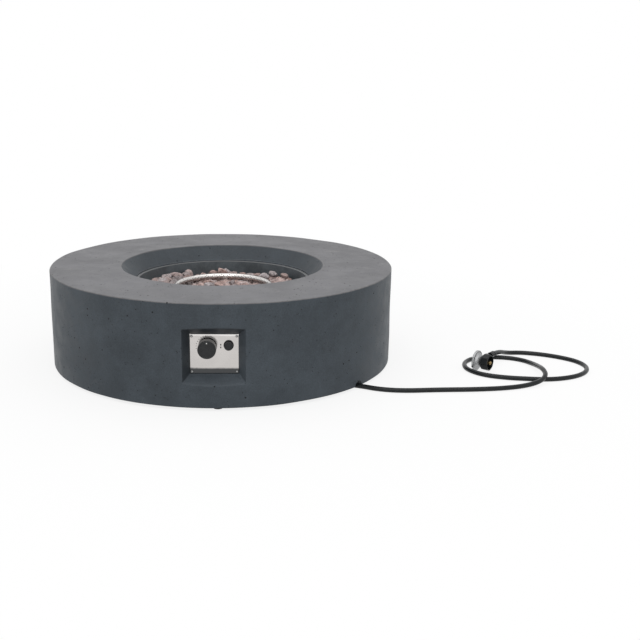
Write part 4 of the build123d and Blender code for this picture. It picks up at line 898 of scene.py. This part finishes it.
class FIREPIT_OT_burner(Operator):
    """Presses the pan and bends the ring with its gas ports"""

    bl_idname = "fire_pit.burner"
    bl_label = "Pan and ring"

    def execute(self, context):
        burner = context.scene.fire_pit_burner
        pan = Shell().add(turned(pan_outline(), 240)).mesh("burner_tray")
        place("burner_tray", pan, pan_steel(), "fire_pit", ["burner_pan"])
        tube, sunk = self.ring(burner)
        # The sunk share darkens the ports as painted shade.
        ring = Shell().add(tube, wrap_rows=True, marks=sunk).mesh("flame_ring", sharp=70.0)
        steel = brushed_steel("ring_steel", burner.steel_colour, (160.0, 160.0, 160.0), (0.18, 0.30))
        place("flame_ring", ring, steel, "fire_pit", ["burner_ring"])
        return {"FINISHED"}

    def ring(self, burner):
        """A torus that sinks by depth (1.3 - (d / r)^2) inside each port; the share sunk is its mark."""
        tube, depth = burner.ring_tube, 0.0016
        rows, columns = 56, 36 * burner.ports
        around = np.arange(columns) * TAU / columns
        section = (np.arange(rows) * TAU / rows)[:, None]
        sunk = np.zeros((rows, columns))
        for count, angle in ((burner.ports, 135), (2 * burner.ports, 166)):
            step = TAU / count
            from_port = (around % step - step / 2) * (RING_RADIUS + tube * math.cos(math.radians(angle)))
            up_port = (section - math.radians(angle)) * tube
            share = (from_port**2 + up_port**2) / burner.port_radius**2
            sunk = np.maximum(sunk, np.clip(1.3 - share, 0, 1))
        reach = tube - depth * sunk
        radius = RING_RADIUS + reach * np.cos(section)
        height = RING_LOW.z + tube + reach * np.sin(section)
        return np.stack([radius * np.sin(around), -radius * np.cos(around), height], -1), sunk


class FIREPIT_OT_stones(Operator):
    """Heaps broken lava stones in the pan"""

    bl_idname = "fire_pit.stones"
    bl_label = "Lava stones"

    def execute(self, context):
        spots, sizes, bases, tops = self.heap(context.scene.fire_pit_burner)
        shapes = self.shapes(len(spots), 8, 10)
        stones = shapes * sizes[:, None, None, None]
        low, high = stones[..., 2].min((1, 2)), stones[..., 2].max((1, 2))
        rise = ((tops - bases) / (high - low))[:, None, None]
        stones[..., 2] = (stones[..., 2] - low[:, None, None]) * rise + bases[:, None, None]
        stones[..., :2] += spots[:, None, None, :]
        dice = np.random.default_rng(12)
        tints = np.clip(dice.beta(1.1, 1.2, len(spots)), 0, 1)[:, None, None]
        mesh = Shell().add(stones, marks=tints).mesh("lava_heap", sharp=24.0)
        place("lava_heap", mesh, lava(), "fire_pit", ["lava_rocks"])
        return {"FINISHED"}

    def heap(self, burner):
        """Two layers on a sunflower spiral, r = spread sqrt(n) and angle = n times the golden angle."""
        floor, tube, gap = PAN_LOW.z + burner.pan_sheet, burner.ring_tube, 0.002
        wall = PAN_HIGH.x - burner.pan_rim - burner.pan_sheet - gap
        golden = math.pi * (3 - math.sqrt(5))
        spread = burner.stone_spread
        dice = np.random.default_rng(7)
        layers = []
        for layer, offset in enumerate((0.0, 0.47)):
            number = np.arange(1, int((wall / spread) ** 2)) + offset
            radius = spread * np.sqrt(number)
            spots = np.stack([radius * np.cos(number * golden), radius * np.sin(number * golden)], -1)
            spots += dice.normal(0, 0.0022, spots.shape)
            size = spread * dice.uniform(0.80, 1.22, len(number)) * (1.0, 0.80)[layer]
            base = np.full(len(number), floor) + layer * dice.uniform(0.014, 0.021, len(number))
            height = size * dice.uniform(1.35, 1.95, len(number))
            keep = (np.hypot(*spots.T) < wall - size) & (dice.uniform(size=len(number)) < (1.0, 0.52)[layer])
            inside = RING_RADIUS - tube - np.hypot(*spots.T)
            stray = dice.choice((0.0, 0.008), len(number), p=(0.75, 0.25))
            mound = RING_LOW.z + burner.mound_slope * inside + stray
            beside = np.abs(np.hypot(*spots.T) - RING_RADIUS) < tube + size * 0.9
            limit = np.where(beside, RING_LOW.z - 0.001, np.where(inside > 0, mound, burner.stone_top))
            top = np.minimum(np.minimum(base + height, limit), burner.stone_top)
            keep &= top - base > 0.012
            layers.append([array[keep] for array in (spots, size, base, top)])
        return [np.concatenate(arrays) for arrays in zip(*layers)]

    def shapes(self, count, rows, columns):
        """Broken blocks, stretched and tumbled: r = (sum max(0, n.u / d)^p)^(-1/p) over cuts n at depth d."""
        dice = np.random.default_rng(21)
        polar = np.linspace(0, math.pi, rows)[:, None]
        around = np.arange(columns) * TAU / columns
        level = np.cos(polar) + 0 * around
        way = np.stack([np.sin(polar) * np.cos(around), np.sin(polar) * np.sin(around), level], -1)
        cuts = dice.normal(size=(count, 8, 3))
        cuts /= np.linalg.norm(cuts, axis=-1, keepdims=True)
        depth = dice.uniform(0.55, 0.95, (count, 1, 1, 8))
        power = 30.0
        facing = np.clip(np.einsum("rcx,snx->srcn", way, cuts), 0, None)
        radius = (((facing / depth) ** power).sum(-1) + 1e-9) ** (-1 / power)
        radius = np.clip(radius, 0.5, 1.35)
        stretch = dice.uniform(0.82, 1.22, (count, 1, 1, 3))
        tumble = np.linalg.qr(dice.normal(size=(count, 3, 3)))[0]
        return np.einsum("sxy,srcy->srcx", tumble, way[None] * radius[..., None] * stretch)


# Control panel


def slab(outlines, thickness):
    """Flat marks of four corners each, raised off the plate: a loop below and one on top, closed over."""
    base = np.asarray(outlines, float)
    flat = np.concatenate([base, np.full(base.shape[:-1] + (1,), PLATE_FACE)], -1)
    top = flat + np.array([0.0, 0.0, thickness])
    middle = np.repeat(top.mean(-2, keepdims=True), base.shape[-2], -2)
    bottom = np.repeat(flat.mean(-2, keepdims=True), base.shape[-2], -2)
    return np.stack([bottom, flat, top, middle], -3)


class FIREPIT_OT_plate(Operator):
    """Fits the brushed plate, its screws and the printed dial ticks"""

    bl_idname = "fire_pit.plate"
    bl_label = "Control plate"

    def execute(self, context):
        panel = context.scene.fire_pit_panel
        plate = Shell().add(on_panel(self.plate(panel))).mesh("panel_plate", sharp=25.0)
        place("panel_plate", plate, plate_steel(), "fire_pit", ["control_plate"])
        screws = Shell()
        inset = 0.006
        for x in (PLATE_LOW.x + inset, PLATE_HIGH.x - inset):
            for z in (PLATE_LOW.z + inset, PLATE_HIGH.z - inset):
                screws.add(on_panel(self.screw(), x, z))
        bright = cast_metal("screw_steel", (0.40, 0.40, 0.40), 0.28)
        mesh = screws.mesh("panel_screws", sharp=50.0)
        place("panel_screws", mesh, bright, "fire_pit", ["plate_screws"])
        ink = moulded("dial_ink", panel.ink_colour, 0.5, 0.02)
        ticks = Shell().add(on_panel(self.ticks(panel), *KNOB_CENTRE))
        place("dial_ticks", ticks.mesh("dial_ticks"), ink, "fire_pit")
        spark_marks = Shell().add(on_panel(self.spark_marks(), *IGNITER_CENTRE))
        place("igniter_marks", spark_marks.mesh("igniter_marks"), ink, "fire_pit")
        return {"FINISHED"}

    def spark_marks(self):
        """Two plain blocks, one over the other, to the left of the igniter."""
        block = np.array([(-1, -1), (1, -1), (1, 1), (-1, 1)]) * (0.0015, 0.0022)
        return slab([block + (-0.0215, up) for up in (0.0012, -0.0064)], INK_THICKNESS)

    def plate(self, panel):
        """Loops of a rounded rectangle: back, edge, pressed bevel and face, closed to a point at each end."""
        edge = square_edge(48, 40)
        half_width, half_height = PLATE_HALF
        face, bevel, corner = PLATE_FACE, panel.plate_bevel, 0.002
        stages = [
            (None, 0.0), (0.001, 0.0), (0.0, 0.0002), (0.0, 0.0004), (0.25 * bevel, 0.0007),
            (0.6 * bevel, 0.0012), (bevel, face - 0.00006), (1.4 * bevel, face), (0.02, face), (None, face),
        ]
        loops = []
        for inset, reach in stages:
            x, y = np.zeros((2, len(edge)))
            if inset is not None:
                x, y = rectangle(edge, half_width - inset, half_height - inset, corner)
            loops.append(np.stack([x, y, np.full_like(x, reach)], -1))
        return np.stack(loops)

    def screw(self):
        """A round screw head whose crown sinks where |x| or |y| is under the slot's half width."""
        face, radius = PLATE_FACE, 0.0036
        outline = profile(
            [
                (0.0, face + 0.0022), (0.0024, face + 0.0021), (radius, face + 0.0008),
                (radius, face - 0.0004), (0.0, face - 0.0004),
            ],
            [0.0015, 0.001, 0.0003],
        )
        outline = divided(outline, np.zeros(len(outline)), 0.0003, 0.0001)[0]
        head = spun(outline, 48)
        slot_reach, slot_half, slot_depth = 0.0019, 0.00035, 0.0010
        near = np.hypot(head[..., 0], head[..., 1]) < slot_reach
        in_cross = (np.abs(head[..., 0]) < slot_half) | (np.abs(head[..., 1]) < slot_half)
        crown = head[..., 2] > face + 0.0012
        head[..., 2] -= np.where(near & in_cross & crown, slot_depth, 0.0)
        return head

    def ticks(self, panel):
        """Short bars on an arc at the upper left of the knob, which grow shorter round it."""
        angle = np.radians(np.linspace(98, 188, panel.ticks))
        start, half = KNOB_RADIUS + 0.0036, 0.0007
        out = np.stack([np.cos(angle), np.sin(angle)], -1)
        side = np.stack([-np.sin(angle), np.cos(angle)], -1)
        length = panel.tick_length * np.linspace(1.0, 0.6, panel.ticks)[:, None]
        corners = [
            out * start - side * half, out * (start + length) - side * half,
            out * (start + length) + side * half, out * start + side * half,
        ]
        return slab(np.stack(corners, 1), INK_THICKNESS)


class FIREPIT_OT_controls(Operator):
    """Moulds the knob with its dot and the igniter's collar and button"""

    bl_idname = "fire_pit.controls"
    bl_label = "Knob and igniter"

    def execute(self, context):
        panel = context.scene.fire_pit_panel
        black = moulded("control_plastic", panel.plastic_colour, 0.24, 0.04, 0.34)
        x, z = KNOB_CENTRE
        knob = Shell().add(on_panel(self.knob(panel), x, z)).mesh("gas_knob", sharp=35.0)
        place("gas_knob", knob, black, "knob", ["control_knob"])
        marker = Shell().add(on_panel(spun(self.dot(), 32), x, z + KNOB_RADIUS - 0.007)).mesh("knob_dot")
        place("knob_dot", marker, moulded("dot_paint", panel.marker_colour, 0.4, 0.02), "knob")
        x, z = IGNITER_CENTRE
        collar = Shell().add(on_panel(spun(self.collar(), 96), x, z), wrap_rows=True).mesh("igniter_bezel")
        place("igniter_bezel", collar, black, "fire_pit", ["igniter_collar"])
        button = Shell().add(on_panel(spun(self.button(), 96), x, z)).mesh("igniter_push")
        place("igniter_push", button, black, "igniter_button", ["igniter_button"])
        return {"FINISHED"}

    def knob(self, panel):
        """A turned cap, dished in front and hollow behind; flutes sink its side by depth cos^8."""
        radius, hub, skirt = KNOB_RADIUS, 0.009, KNOB_RADIUS - 0.003
        back, front = PANEL_Y - KNOB_HIGH.y, PANEL_Y - KNOB_LOW.y
        outline = profile(
            [
                (0.0, front - KNOB_DISH), (radius - 0.0042, front - KNOB_DISH), (radius - 0.0036, front),
                (radius - 0.0002, front), (radius, back + 0.004), (radius, back), (skirt, back),
                (skirt, back + 0.016), (hub, back + 0.016), (hub, back + 0.003), (0.0, back + 0.003),
            ],
            [0.0006, 0.0006, 0.0022, 0.0, 0.0006, 0.0005, 0.001, 0.001, 0.0006],
        )
        outline = divided(outline, np.zeros(len(outline)), 0.004, 0.0008)[0]
        grid = spun(outline, panel.flutes * 14)
        reach = outline[:, 1]
        side = (outline[:, 0] > radius - 0.001) & (reach > back) & (reach < front)
        fade = np.clip((front - 0.0035 - reach) / 0.003, 0, 1) * side
        angle = np.arctan2(grid[..., 1], grid[..., 0])
        flute = np.cos(panel.flutes * angle / 2) ** 8
        shrink = 1 - panel.flute_depth / radius * flute * fade[:, None]
        grid[..., :2] *= shrink[..., None]
        return grid

    def dot(self):
        """Half section of the painted dot, sunk a little in the knob's dished face."""
        face, radius = PANEL_Y - KNOB_LOW.y - KNOB_DISH, 0.0016
        return profile(
            [(0.0, face + 0.0003), (radius, face + 0.00025), (radius, face - 0.0006), (0.0, face - 0.0006)],
            [0.0002, 0.0],
        )

    def collar(self):
        """Section of the igniter's bezel: chamfered ring round the button's stem."""
        outer = (COLLAR_HIGH.x - COLLAR_LOW.x) / 2
        back, front = PANEL_Y - COLLAR_HIGH.y, PANEL_Y - COLLAR_LOW.y
        bore, chamfer = 0.0092, 0.0014
        return profile(
            [
                (bore, back), (outer, back), (outer, front - chamfer), (outer - chamfer, front),
                (bore, front), (bore, back + 0.0001),
            ],
            [0.0004, 0.0006, 0.0006, 0.0006],
        )

    def button(self):
        """Half section of the push-button: domed cap with a ring groove, over a round stem."""
        cap = (BUTTON_HIGH.x - BUTTON_LOW.x) / 2
        back, front = PANEL_Y - BUTTON_HIGH.y, PANEL_Y - BUTTON_LOW.y
        stem, skirt = 0.009, front - 0.006
        return profile(
            [
                (0.0, front), (0.0072, front - 0.0004), (0.0078, front - 0.0011), (0.0086, front - 0.0007),
                (cap, front - 0.0013), (cap, skirt), (stem, skirt), (stem, back), (0.0, back),
            ],
            [0.0004, 0.0003, 0.0004, 0.0014, 0.0006, 0.0004, 0.0006],
        )


class FIREPIT_OT_springs(Operator):
    """Winds the return springs of the knob and the igniter"""

    bl_idname = "fire_pit.springs"
    bl_label = "Springs"

    def execute(self, context):
        wire = cast_metal("spring_steel", (0.62, 0.62, 0.60), 0.28)
        for node, joint in (("valve_spring", "knob_push"), ("igniter_spring", "igniter_push")):
            low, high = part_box(node)
            mesh = Shell().add(self.coil(low, high)).mesh(node + "_coil", sharp=180.0)
            piece = place(node + "_coil", mesh, wire, "fire_pit", [node])
            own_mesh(piece)
        return {"FINISHED"}

    def coil(self, low, high, turns=2.5, steps=120, sides=10):
        """A round wire on a helix, centre (R cos t, R sin t, p t), with its section outward and axial."""
        wire = 0.0005
        radius = (high.x - low.x) / 2 - wire
        angle = np.linspace(0, turns * TAU, steps)
        axial = np.linspace(wire, high.y - low.y - wire, steps)
        section = np.arange(sides) * TAU / sides
        reach = radius + wire * np.cos(section)
        x = reach * np.cos(angle)[:, None]
        z = reach * np.sin(angle)[:, None]
        y = high.y - axial[:, None] - wire * np.sin(section)
        centre_x, centre_z = (low.x + high.x) / 2, (low.z + high.z) / 2
        tube = np.stack([x + centre_x, y, z + centre_z], -1)
        ends = [np.repeat(tube[i].mean(0)[None], sides, 0)[None] for i in (0, -1)]
        return np.concatenate([ends[0], tube, ends[1]])


# Hose and regulator


class FIREPIT_OT_hose(Operator):
    """Lays the gas hose"""

    bl_idname = "fire_pit.hose"
    bl_label = "Hose"

    def execute(self, context):
        hose = context.scene.fire_pit_hose
        ends = at_regulator([(reach, 0.0, OUTLET_OFFSET) for reach in (0.130, 0.076)])
        route = [*HOSE_ROUTE, *map(tuple, ends)]
        curve = bpy.data.curves.new("rubber_hose", "CURVE")
        curve.dimensions = "3D"
        spline = curve.splines.new("NURBS")
        spline.points.add(len(route) - 1)
        for point, place_of_point in zip(spline.points, route):
            point.co = (*place_of_point, 1.0)
        spline.order_u = 3
        spline.use_endpoint_u = True
        spline.resolution_u = 10
        curve.bevel_depth = hose.diameter / 2
        curve.bevel_resolution = 6
        curve.use_fill_caps = True
        piece = bpy.data.objects.new("rubber_hose", curve)
        context.scene.collection.objects.link(piece)
        curve.materials.append(moulded("hose_rubber", hose.rubber_colour, 0.26, 0.006, 0.28))
        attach(piece, "fire_pit")
        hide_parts("gas_hose")
        pieces = [bpy.data.objects[name] for name in REGULATOR_PIECES]
        pieces += [frame["nodes"][name] for name in ("outlet_fitting", "regulator_screws")]
        return {"FINISHED"}


REGULATOR_PIECES = (
    "crimp_ferrule", "regulator_casting", "regulator_lid", "vent_plug", "hand_nut", "gas_nipple",
    "nipple_ring",
)


class FIREPIT_OT_regulator(Operator):
    """Casts the regulator and fits its hand nut, nipple and ferrule"""

    bl_idname = "fire_pit.regulator"
    bl_label = "Regulator"

    def execute(self, context):
        hose = context.scene.fire_pit_hose
        silver = cast_metal("regulator_casting", hose.casting_colour, 0.44)
        black = moulded("nut_plastic", hose.nut_colour, 0.30, 0.03, 0.22)
        brass = cast_metal("brass_fitting", hose.brass_colour, 0.42)
        dark = moulded("blackened_steel", (0.008, 0.009, 0.010), 0.24, 0.02, 0.3)
        self.fit("regulator_casting", self.casting(), silver, "fire_pit", "die_cast", "regulator_body")
        self.fit("regulator_lid", [spun(self.lid(), 120)], silver, "fire_pit", "die_cast", "regulator_cover")
        self.fit("vent_plug", [spun(self.vent(), 40)], black, "fire_pit", "nut_plastic", "vent_cap")
        self.fit("gas_nipple", [spun(self.nipple(), 64)], brass, "fire_pit", "brass", "inlet_nipple")
        self.fit("crimp_ferrule", [self.ferrule()], dark, "fire_pit", "ferrule_steel", "hose_ferrule")
        self.fit("hand_nut", [self.nut()], black, "coupling_nut", "nut_plastic", "coupling_nut", True)
        seal = moulded("seal_rubber", (0.016, 0.016, 0.016), 0.5)
        self.fit("nipple_ring", [self.seal()], seal, "fire_pit", "seal_rubber", "nipple_seal", True)
        return {"FINISHED"}

    def fit(self, name, grids, finish, body, slot, node, ring=False):
        shell = Shell()
        for grid in grids:
            shell.add(at_regulator(grid), wrap_rows=ring)
        place(name, shell.mesh(name, sharp=38.0), finish, body, [node])

    def casting(self):
        """Turned body with a stepped shoulder and neck, and the round boss for the hose fitting."""
        section = profile(
            [
                (0.0, -0.002), (0.0315, -0.002), (0.0315, 0.002), (0.0252, 0.002), (0.0208, 0.0095),
                (0.0145, 0.0152), (0.0090, 0.0152), (0.0090, 0.024), (0.0, 0.024),
            ],
            [0.0006, 0.0014, 0.0020, 0.0060, 0.0010, 0.0008, 0.0004],
        )
        boss = profile([(0.0, 0.010), (0.008, 0.010), (0.008, 0.046), (0.0, 0.046)], [0.0005, 0.0008])
        return [spun(section, 120), self.along_outlet(spun(boss, 48))]

    def along_outlet(self, tube):
        """A part turned on its own axis, laid along the hose outlet."""
        return np.stack([tube[..., 2], tube[..., 0], tube[..., 1] + OUTLET_OFFSET], -1)

    def lid(self):
        """Half section of the cover: flange and a low dome."""
        return profile(
            [
                (0.0, -0.002), (0.0315, -0.002), (0.0315, -0.005), (0.0262, -0.0052), (0.0220, -0.0078),
                (0.0, -0.0090),
            ],
            [0.0004, 0.0014, 0.0020, 0.0040],
        )

    def vent(self):
        """Half section of the breather: a plain stub with a rounded cap."""
        return profile(
            [
                (0.0, -0.0085), (0.0034, -0.0085), (0.0034, -0.0132), (0.0045, -0.0132), (0.0045, -0.0165),
                (0.0028, -0.017), (0.0, -0.017),
            ],
            [0.0002, 0.0004, 0.0003, 0.0006, 0.0006],
        )

    def nipple(self):
        """Half section of the nipple: flange, shank, round nose and gas way."""
        return profile(
            [
                (0.0, 0.024), (0.012, 0.024), (0.012, 0.027), (0.006, 0.027), (0.006, 0.0445),
                (0.0030, 0.048), (0.0018, 0.048), (0.0018, 0.040), (0.0, 0.040),
            ],
            [0.0005, 0.0005, 0.0005, 0.002, 0.0006, 0.0003, 0.0],
        )

    def ferrule(self):
        """A crimped sleeve on the hose's end: radius R - depth cos^2 of its bands."""
        reach = np.linspace(0.074, 0.097, 47)
        bands = np.clip(np.cos((reach - 0.0775) / 0.0075 * math.pi), 0, 1) ** 2
        radius = 0.0093 - 0.0008 * bands
        section = np.stack([radius, reach], -1)
        ends = [[(0.0, 0.074)], [(0.0078, 0.0972), (0.0076, 0.090), (0.0, 0.090)]]
        return self.along_outlet(spun(np.concatenate([ends[0], section, ends[1]]), 64))

    def nut(self):
        """A hand nut with a tapered shoulder: a turned section, drawn in to flats at r = a / cos."""
        corner, bore, neck = 0.0255, 0.0210, 0.0092
        section = profile(
            [
                (neck, 0.016), (0.0185, 0.016), (corner, 0.0230), (corner, 0.0415), (0.0240, 0.044),
                (bore, 0.044), (bore, 0.020), (neck, 0.020), (neck, 0.0161),
            ],
            [0.0010, 0.0030, 0.0015, 0.0010, 0.0010, 0.0006, 0.0006],
        )
        section = divided(section, np.zeros(len(section)), 0.004, 0.0008)[0]
        sides = 8
        columns = sides * 20
        angle = (np.arange(columns) * TAU / columns) % (TAU / sides) - TAU / sides / 2
        flat = corner * math.cos(TAU / sides / 2) * 1.012 / np.cos(angle)
        cut = corner - np.minimum(flat, corner)
        grid = spun(section, columns)
        share = np.clip((section[:, :1] - bore - 0.001) / (corner - bore - 0.001), 0, 1)
        grid[..., :2] *= (1 - cut * share / section[:, :1])[..., None]
        return grid

    def seal(self):
        """A ring of round rubber on the nipple."""
        radius, wire, reach = 0.0073, 0.0012, 0.034
        section = np.arange(14) * TAU / 14
        return spun(np.stack([radius + wire * np.cos(section), reach + wire * np.sin(section)], -1), 64)


# Parts that keep their own solids


class FIREPIT_OT_fittings(Operator):
    """Finishes the pipes, valve, electrode and fasteners that show from below"""

    bl_idname = "fire_pit.fittings"
    bl_label = "Fittings"

    def execute(self, context):
        zinc = cast_metal("zinc_plate", (0.55, 0.55, 0.53), 0.32)
        copper = cast_metal("copper_lead", (0.60, 0.30, 0.17), 0.30)
        black = moulded("black_fitting", (0.016, 0.016, 0.017), 0.38)
        porcelain = moulded("spark_porcelain", (0.76, 0.75, 0.71), 0.22, 0.05)
        steel = brushed_steel("pipe_steel", (0.60, 0.59, 0.57), (500.0, 500.0, 8.0))
        made = bpy.data.materials
        finishes = {
            zinc: ("foot_studs", "foot_inserts", "bracket_bolts", "inlet_locknuts", "spark_bracket",
                   "ring_brackets", "valve_screws", "valve_stem", "regulator_screws"),
            made["brass_fitting"]: ("gas_jet", "supply_nuts", "hose_nut", "valve_body", "valve_plug"),
            made["blackened_steel"]: ("outlet_fitting",),
            made["regulator_casting"]: ("air_mixer", "valve_bonnet", "supply_tube"),
            copper: ("thermocouple", "thermocouple_lead"),
            black: ("spark_lead", "igniter_barrel", "igniter_nut", "igniter_battery"),
            porcelain: ("spark_ceramic",),
            steel: ("burner_inlet", "spark_rod"),
        }
        for finish, nodes in finishes.items():
            for node in nodes:
                data = frame["nodes"][node].data
                data.materials.clear()
                data.materials.append(finish)
        return {"FINISHED"}


# Stage


class FIREPIT_OT_stage(Operator):
    """Sets the camera, the soft light and the pale floor"""

    bl_idname = "fire_pit.stage"
    bl_label = "Stage"

    def execute(self, context):
        stage = context.scene.fire_pit_stage
        context.scene.view_settings.view_transform = "Standard"
        self.camera(context, stage)
        self.light("key_light", stage.key_power, (3.4, 3.4), (0.0, 0.15, 3.0), (0.0, 0.05, 0.0))
        self.light("front_strip", stage.strip_power, (3.8, 0.3), (0.1, -3.1, 2.6), (0.1, 0.0, 0.2))
        self.sky(context, stage)
        self.floor(context, stage)
        return {"FINISHED"}

    def camera(self, context, stage):
        """Forward is (sin yaw cos pitch, cos yaw cos pitch, -sin pitch); roll turns right and up about it."""
        forward = Vector((
            math.sin(stage.yaw) * math.cos(stage.pitch), math.cos(stage.yaw) * math.cos(stage.pitch),
            -math.sin(stage.pitch),
        ))
        level = Vector((math.cos(stage.yaw), -math.sin(stage.yaw), 0.0))
        upright = level.cross(forward)
        right = level * math.cos(stage.roll) + upright * math.sin(stage.roll)
        up = upright * math.cos(stage.roll) - level * math.sin(stage.roll)
        data = bpy.data.cameras.new("camera")
        data.lens, data.sensor_width = stage.lens, 36.0
        camera = bpy.data.objects.new("camera", data)
        context.scene.collection.objects.link(camera)
        turn = Matrix((right, up, -forward)).transposed().to_4x4()
        camera.matrix_world = Matrix.Translation(Vector(stage.eye)) @ turn
        context.scene.camera = camera

    def light(self, name, power, size, eye, aim):
        data = bpy.data.lights.new(name, "AREA")
        data.energy, data.shape = power, "RECTANGLE"
        data.size, data.size_y = size
        lamp = bpy.data.objects.new(name, data)
        lamp.location = eye
        lamp.rotation_euler = (Vector(aim) - Vector(eye)).to_track_quat("-Z", "Y").to_euler()
        bpy.context.scene.collection.objects.link(lamp)

    def sky(self, context, stage):
        """An even white sky, plain white where it is seen and weaker as light."""
        world = bpy.data.worlds.new("studio")
        world.use_nodes = True
        nodes = Nodes(world.node_tree)
        strength = nodes.node("ShaderNodeMix", {0: nodes.seen_directly(), 2: stage.sky, 3: 1.0})
        light = nodes.node("ShaderNodeBackground", {"Color": (1.0, 1.0, 1.0), "Strength": strength})
        nodes.node("ShaderNodeOutputWorld", {"Surface": light})
        context.scene.world = world

    def floor(self, context, stage):
        """A flat sheet at Z = 0: white where it is seen, with part of the shadow, and duller as light."""
        half = stage.floor_span / 2
        mesh = bpy.data.meshes.new("floor")
        corners = [(-half, -half, 0.0), (half, -half, 0.0), (half, half, 0.0), (-half, half, 0.0)]
        mesh.from_pydata(corners, [], [(0, 1, 2, 3)])
        floor = bpy.data.objects.new("floor", mesh)
        context.scene.collection.objects.link(floor)
        material = bpy.data.materials.new("pale_floor")
        material.use_nodes = True
        nodes = Nodes(material.node_tree)
        place_on_floor = nodes.node("ShaderNodeTexCoord", {}, "Object")
        away = nodes.node("ShaderNodeVectorMath", {0: place_on_floor}, "Value", operation="LENGTH")
        fade = nodes.node(
            "ShaderNodeMapRange", {0: away, 1: 0.75, 2: 1.7, 3: stage.shadow_share, 4: 0.0},
            interpolation_type="SMOOTHSTEP",
        )
        white = nodes.node("ShaderNodeEmission", {})
        pale = nodes.node("ShaderNodeBsdfDiffuse", {"Color": (0.86, 0.86, 0.86)})
        dull = nodes.node("ShaderNodeBsdfDiffuse", {"Color": [stage.floor_bounce] * 3})
        seen = nodes.node("ShaderNodeMixShader", {0: fade, 1: white, 2: pale})
        surface = nodes.node("ShaderNodeMixShader", {0: nodes.seen_directly(), 1: dull, 2: seen})
        nodes.node("ShaderNodeOutputMaterial", {"Surface": surface})
        mesh.materials.append(material)


class FIREPIT_PT_panel(Panel):
    """Lists the fire pit's pieces and settings"""

    bl_label = "Fire Pit"
    bl_idname = "FIREPIT_PT_panel"
    bl_space_type = "VIEW_3D"
    bl_region_type = "UI"
    bl_category = "Fire Pit"

    def draw(self, context):
        for operator in OPERATORS:
            self.layout.operator(operator.bl_idname)
        for name, group in SETTINGS.items():
            box = self.layout.box()
            box.label(text=group.__name__.replace("Settings", ""))
            for setting in group.__annotations__:
                box.prop(getattr(context.scene, name), setting)


SETTINGS = {
    "fire_pit_drum": DrumSettings,
    "fire_pit_burner": BurnerSettings,
    "fire_pit_panel": PanelSettings,
    "fire_pit_hose": HoseSettings,
    "fire_pit_stage": StageSettings,
}
OPERATORS = (
    FIREPIT_OT_stage,
    FIREPIT_OT_drum,
    FIREPIT_OT_feet,
    FIREPIT_OT_burner,
    FIREPIT_OT_stones,
    FIREPIT_OT_plate,
    FIREPIT_OT_controls,
    FIREPIT_OT_springs,
    FIREPIT_OT_regulator,
    FIREPIT_OT_hose,
    FIREPIT_OT_fittings,
)
CLASSES = (*SETTINGS.values(), *OPERATORS, FIREPIT_PT_panel)


def register():
    for group in CLASSES:
        bpy.utils.register_class(group)
    for name, group in SETTINGS.items():
        setattr(bpy.types.Scene, name, PointerProperty(type=group))


def unregister():
    for name in SETTINGS:
        delattr(bpy.types.Scene, name)
    for group in reversed(CLASSES):
        bpy.utils.unregister_class(group)


def main():
    register()
    for operator in OPERATORS:
        group, name = operator.bl_idname.split(".")
        getattr(getattr(bpy.ops, group), name)()


if __name__ == "__main__":
    main()
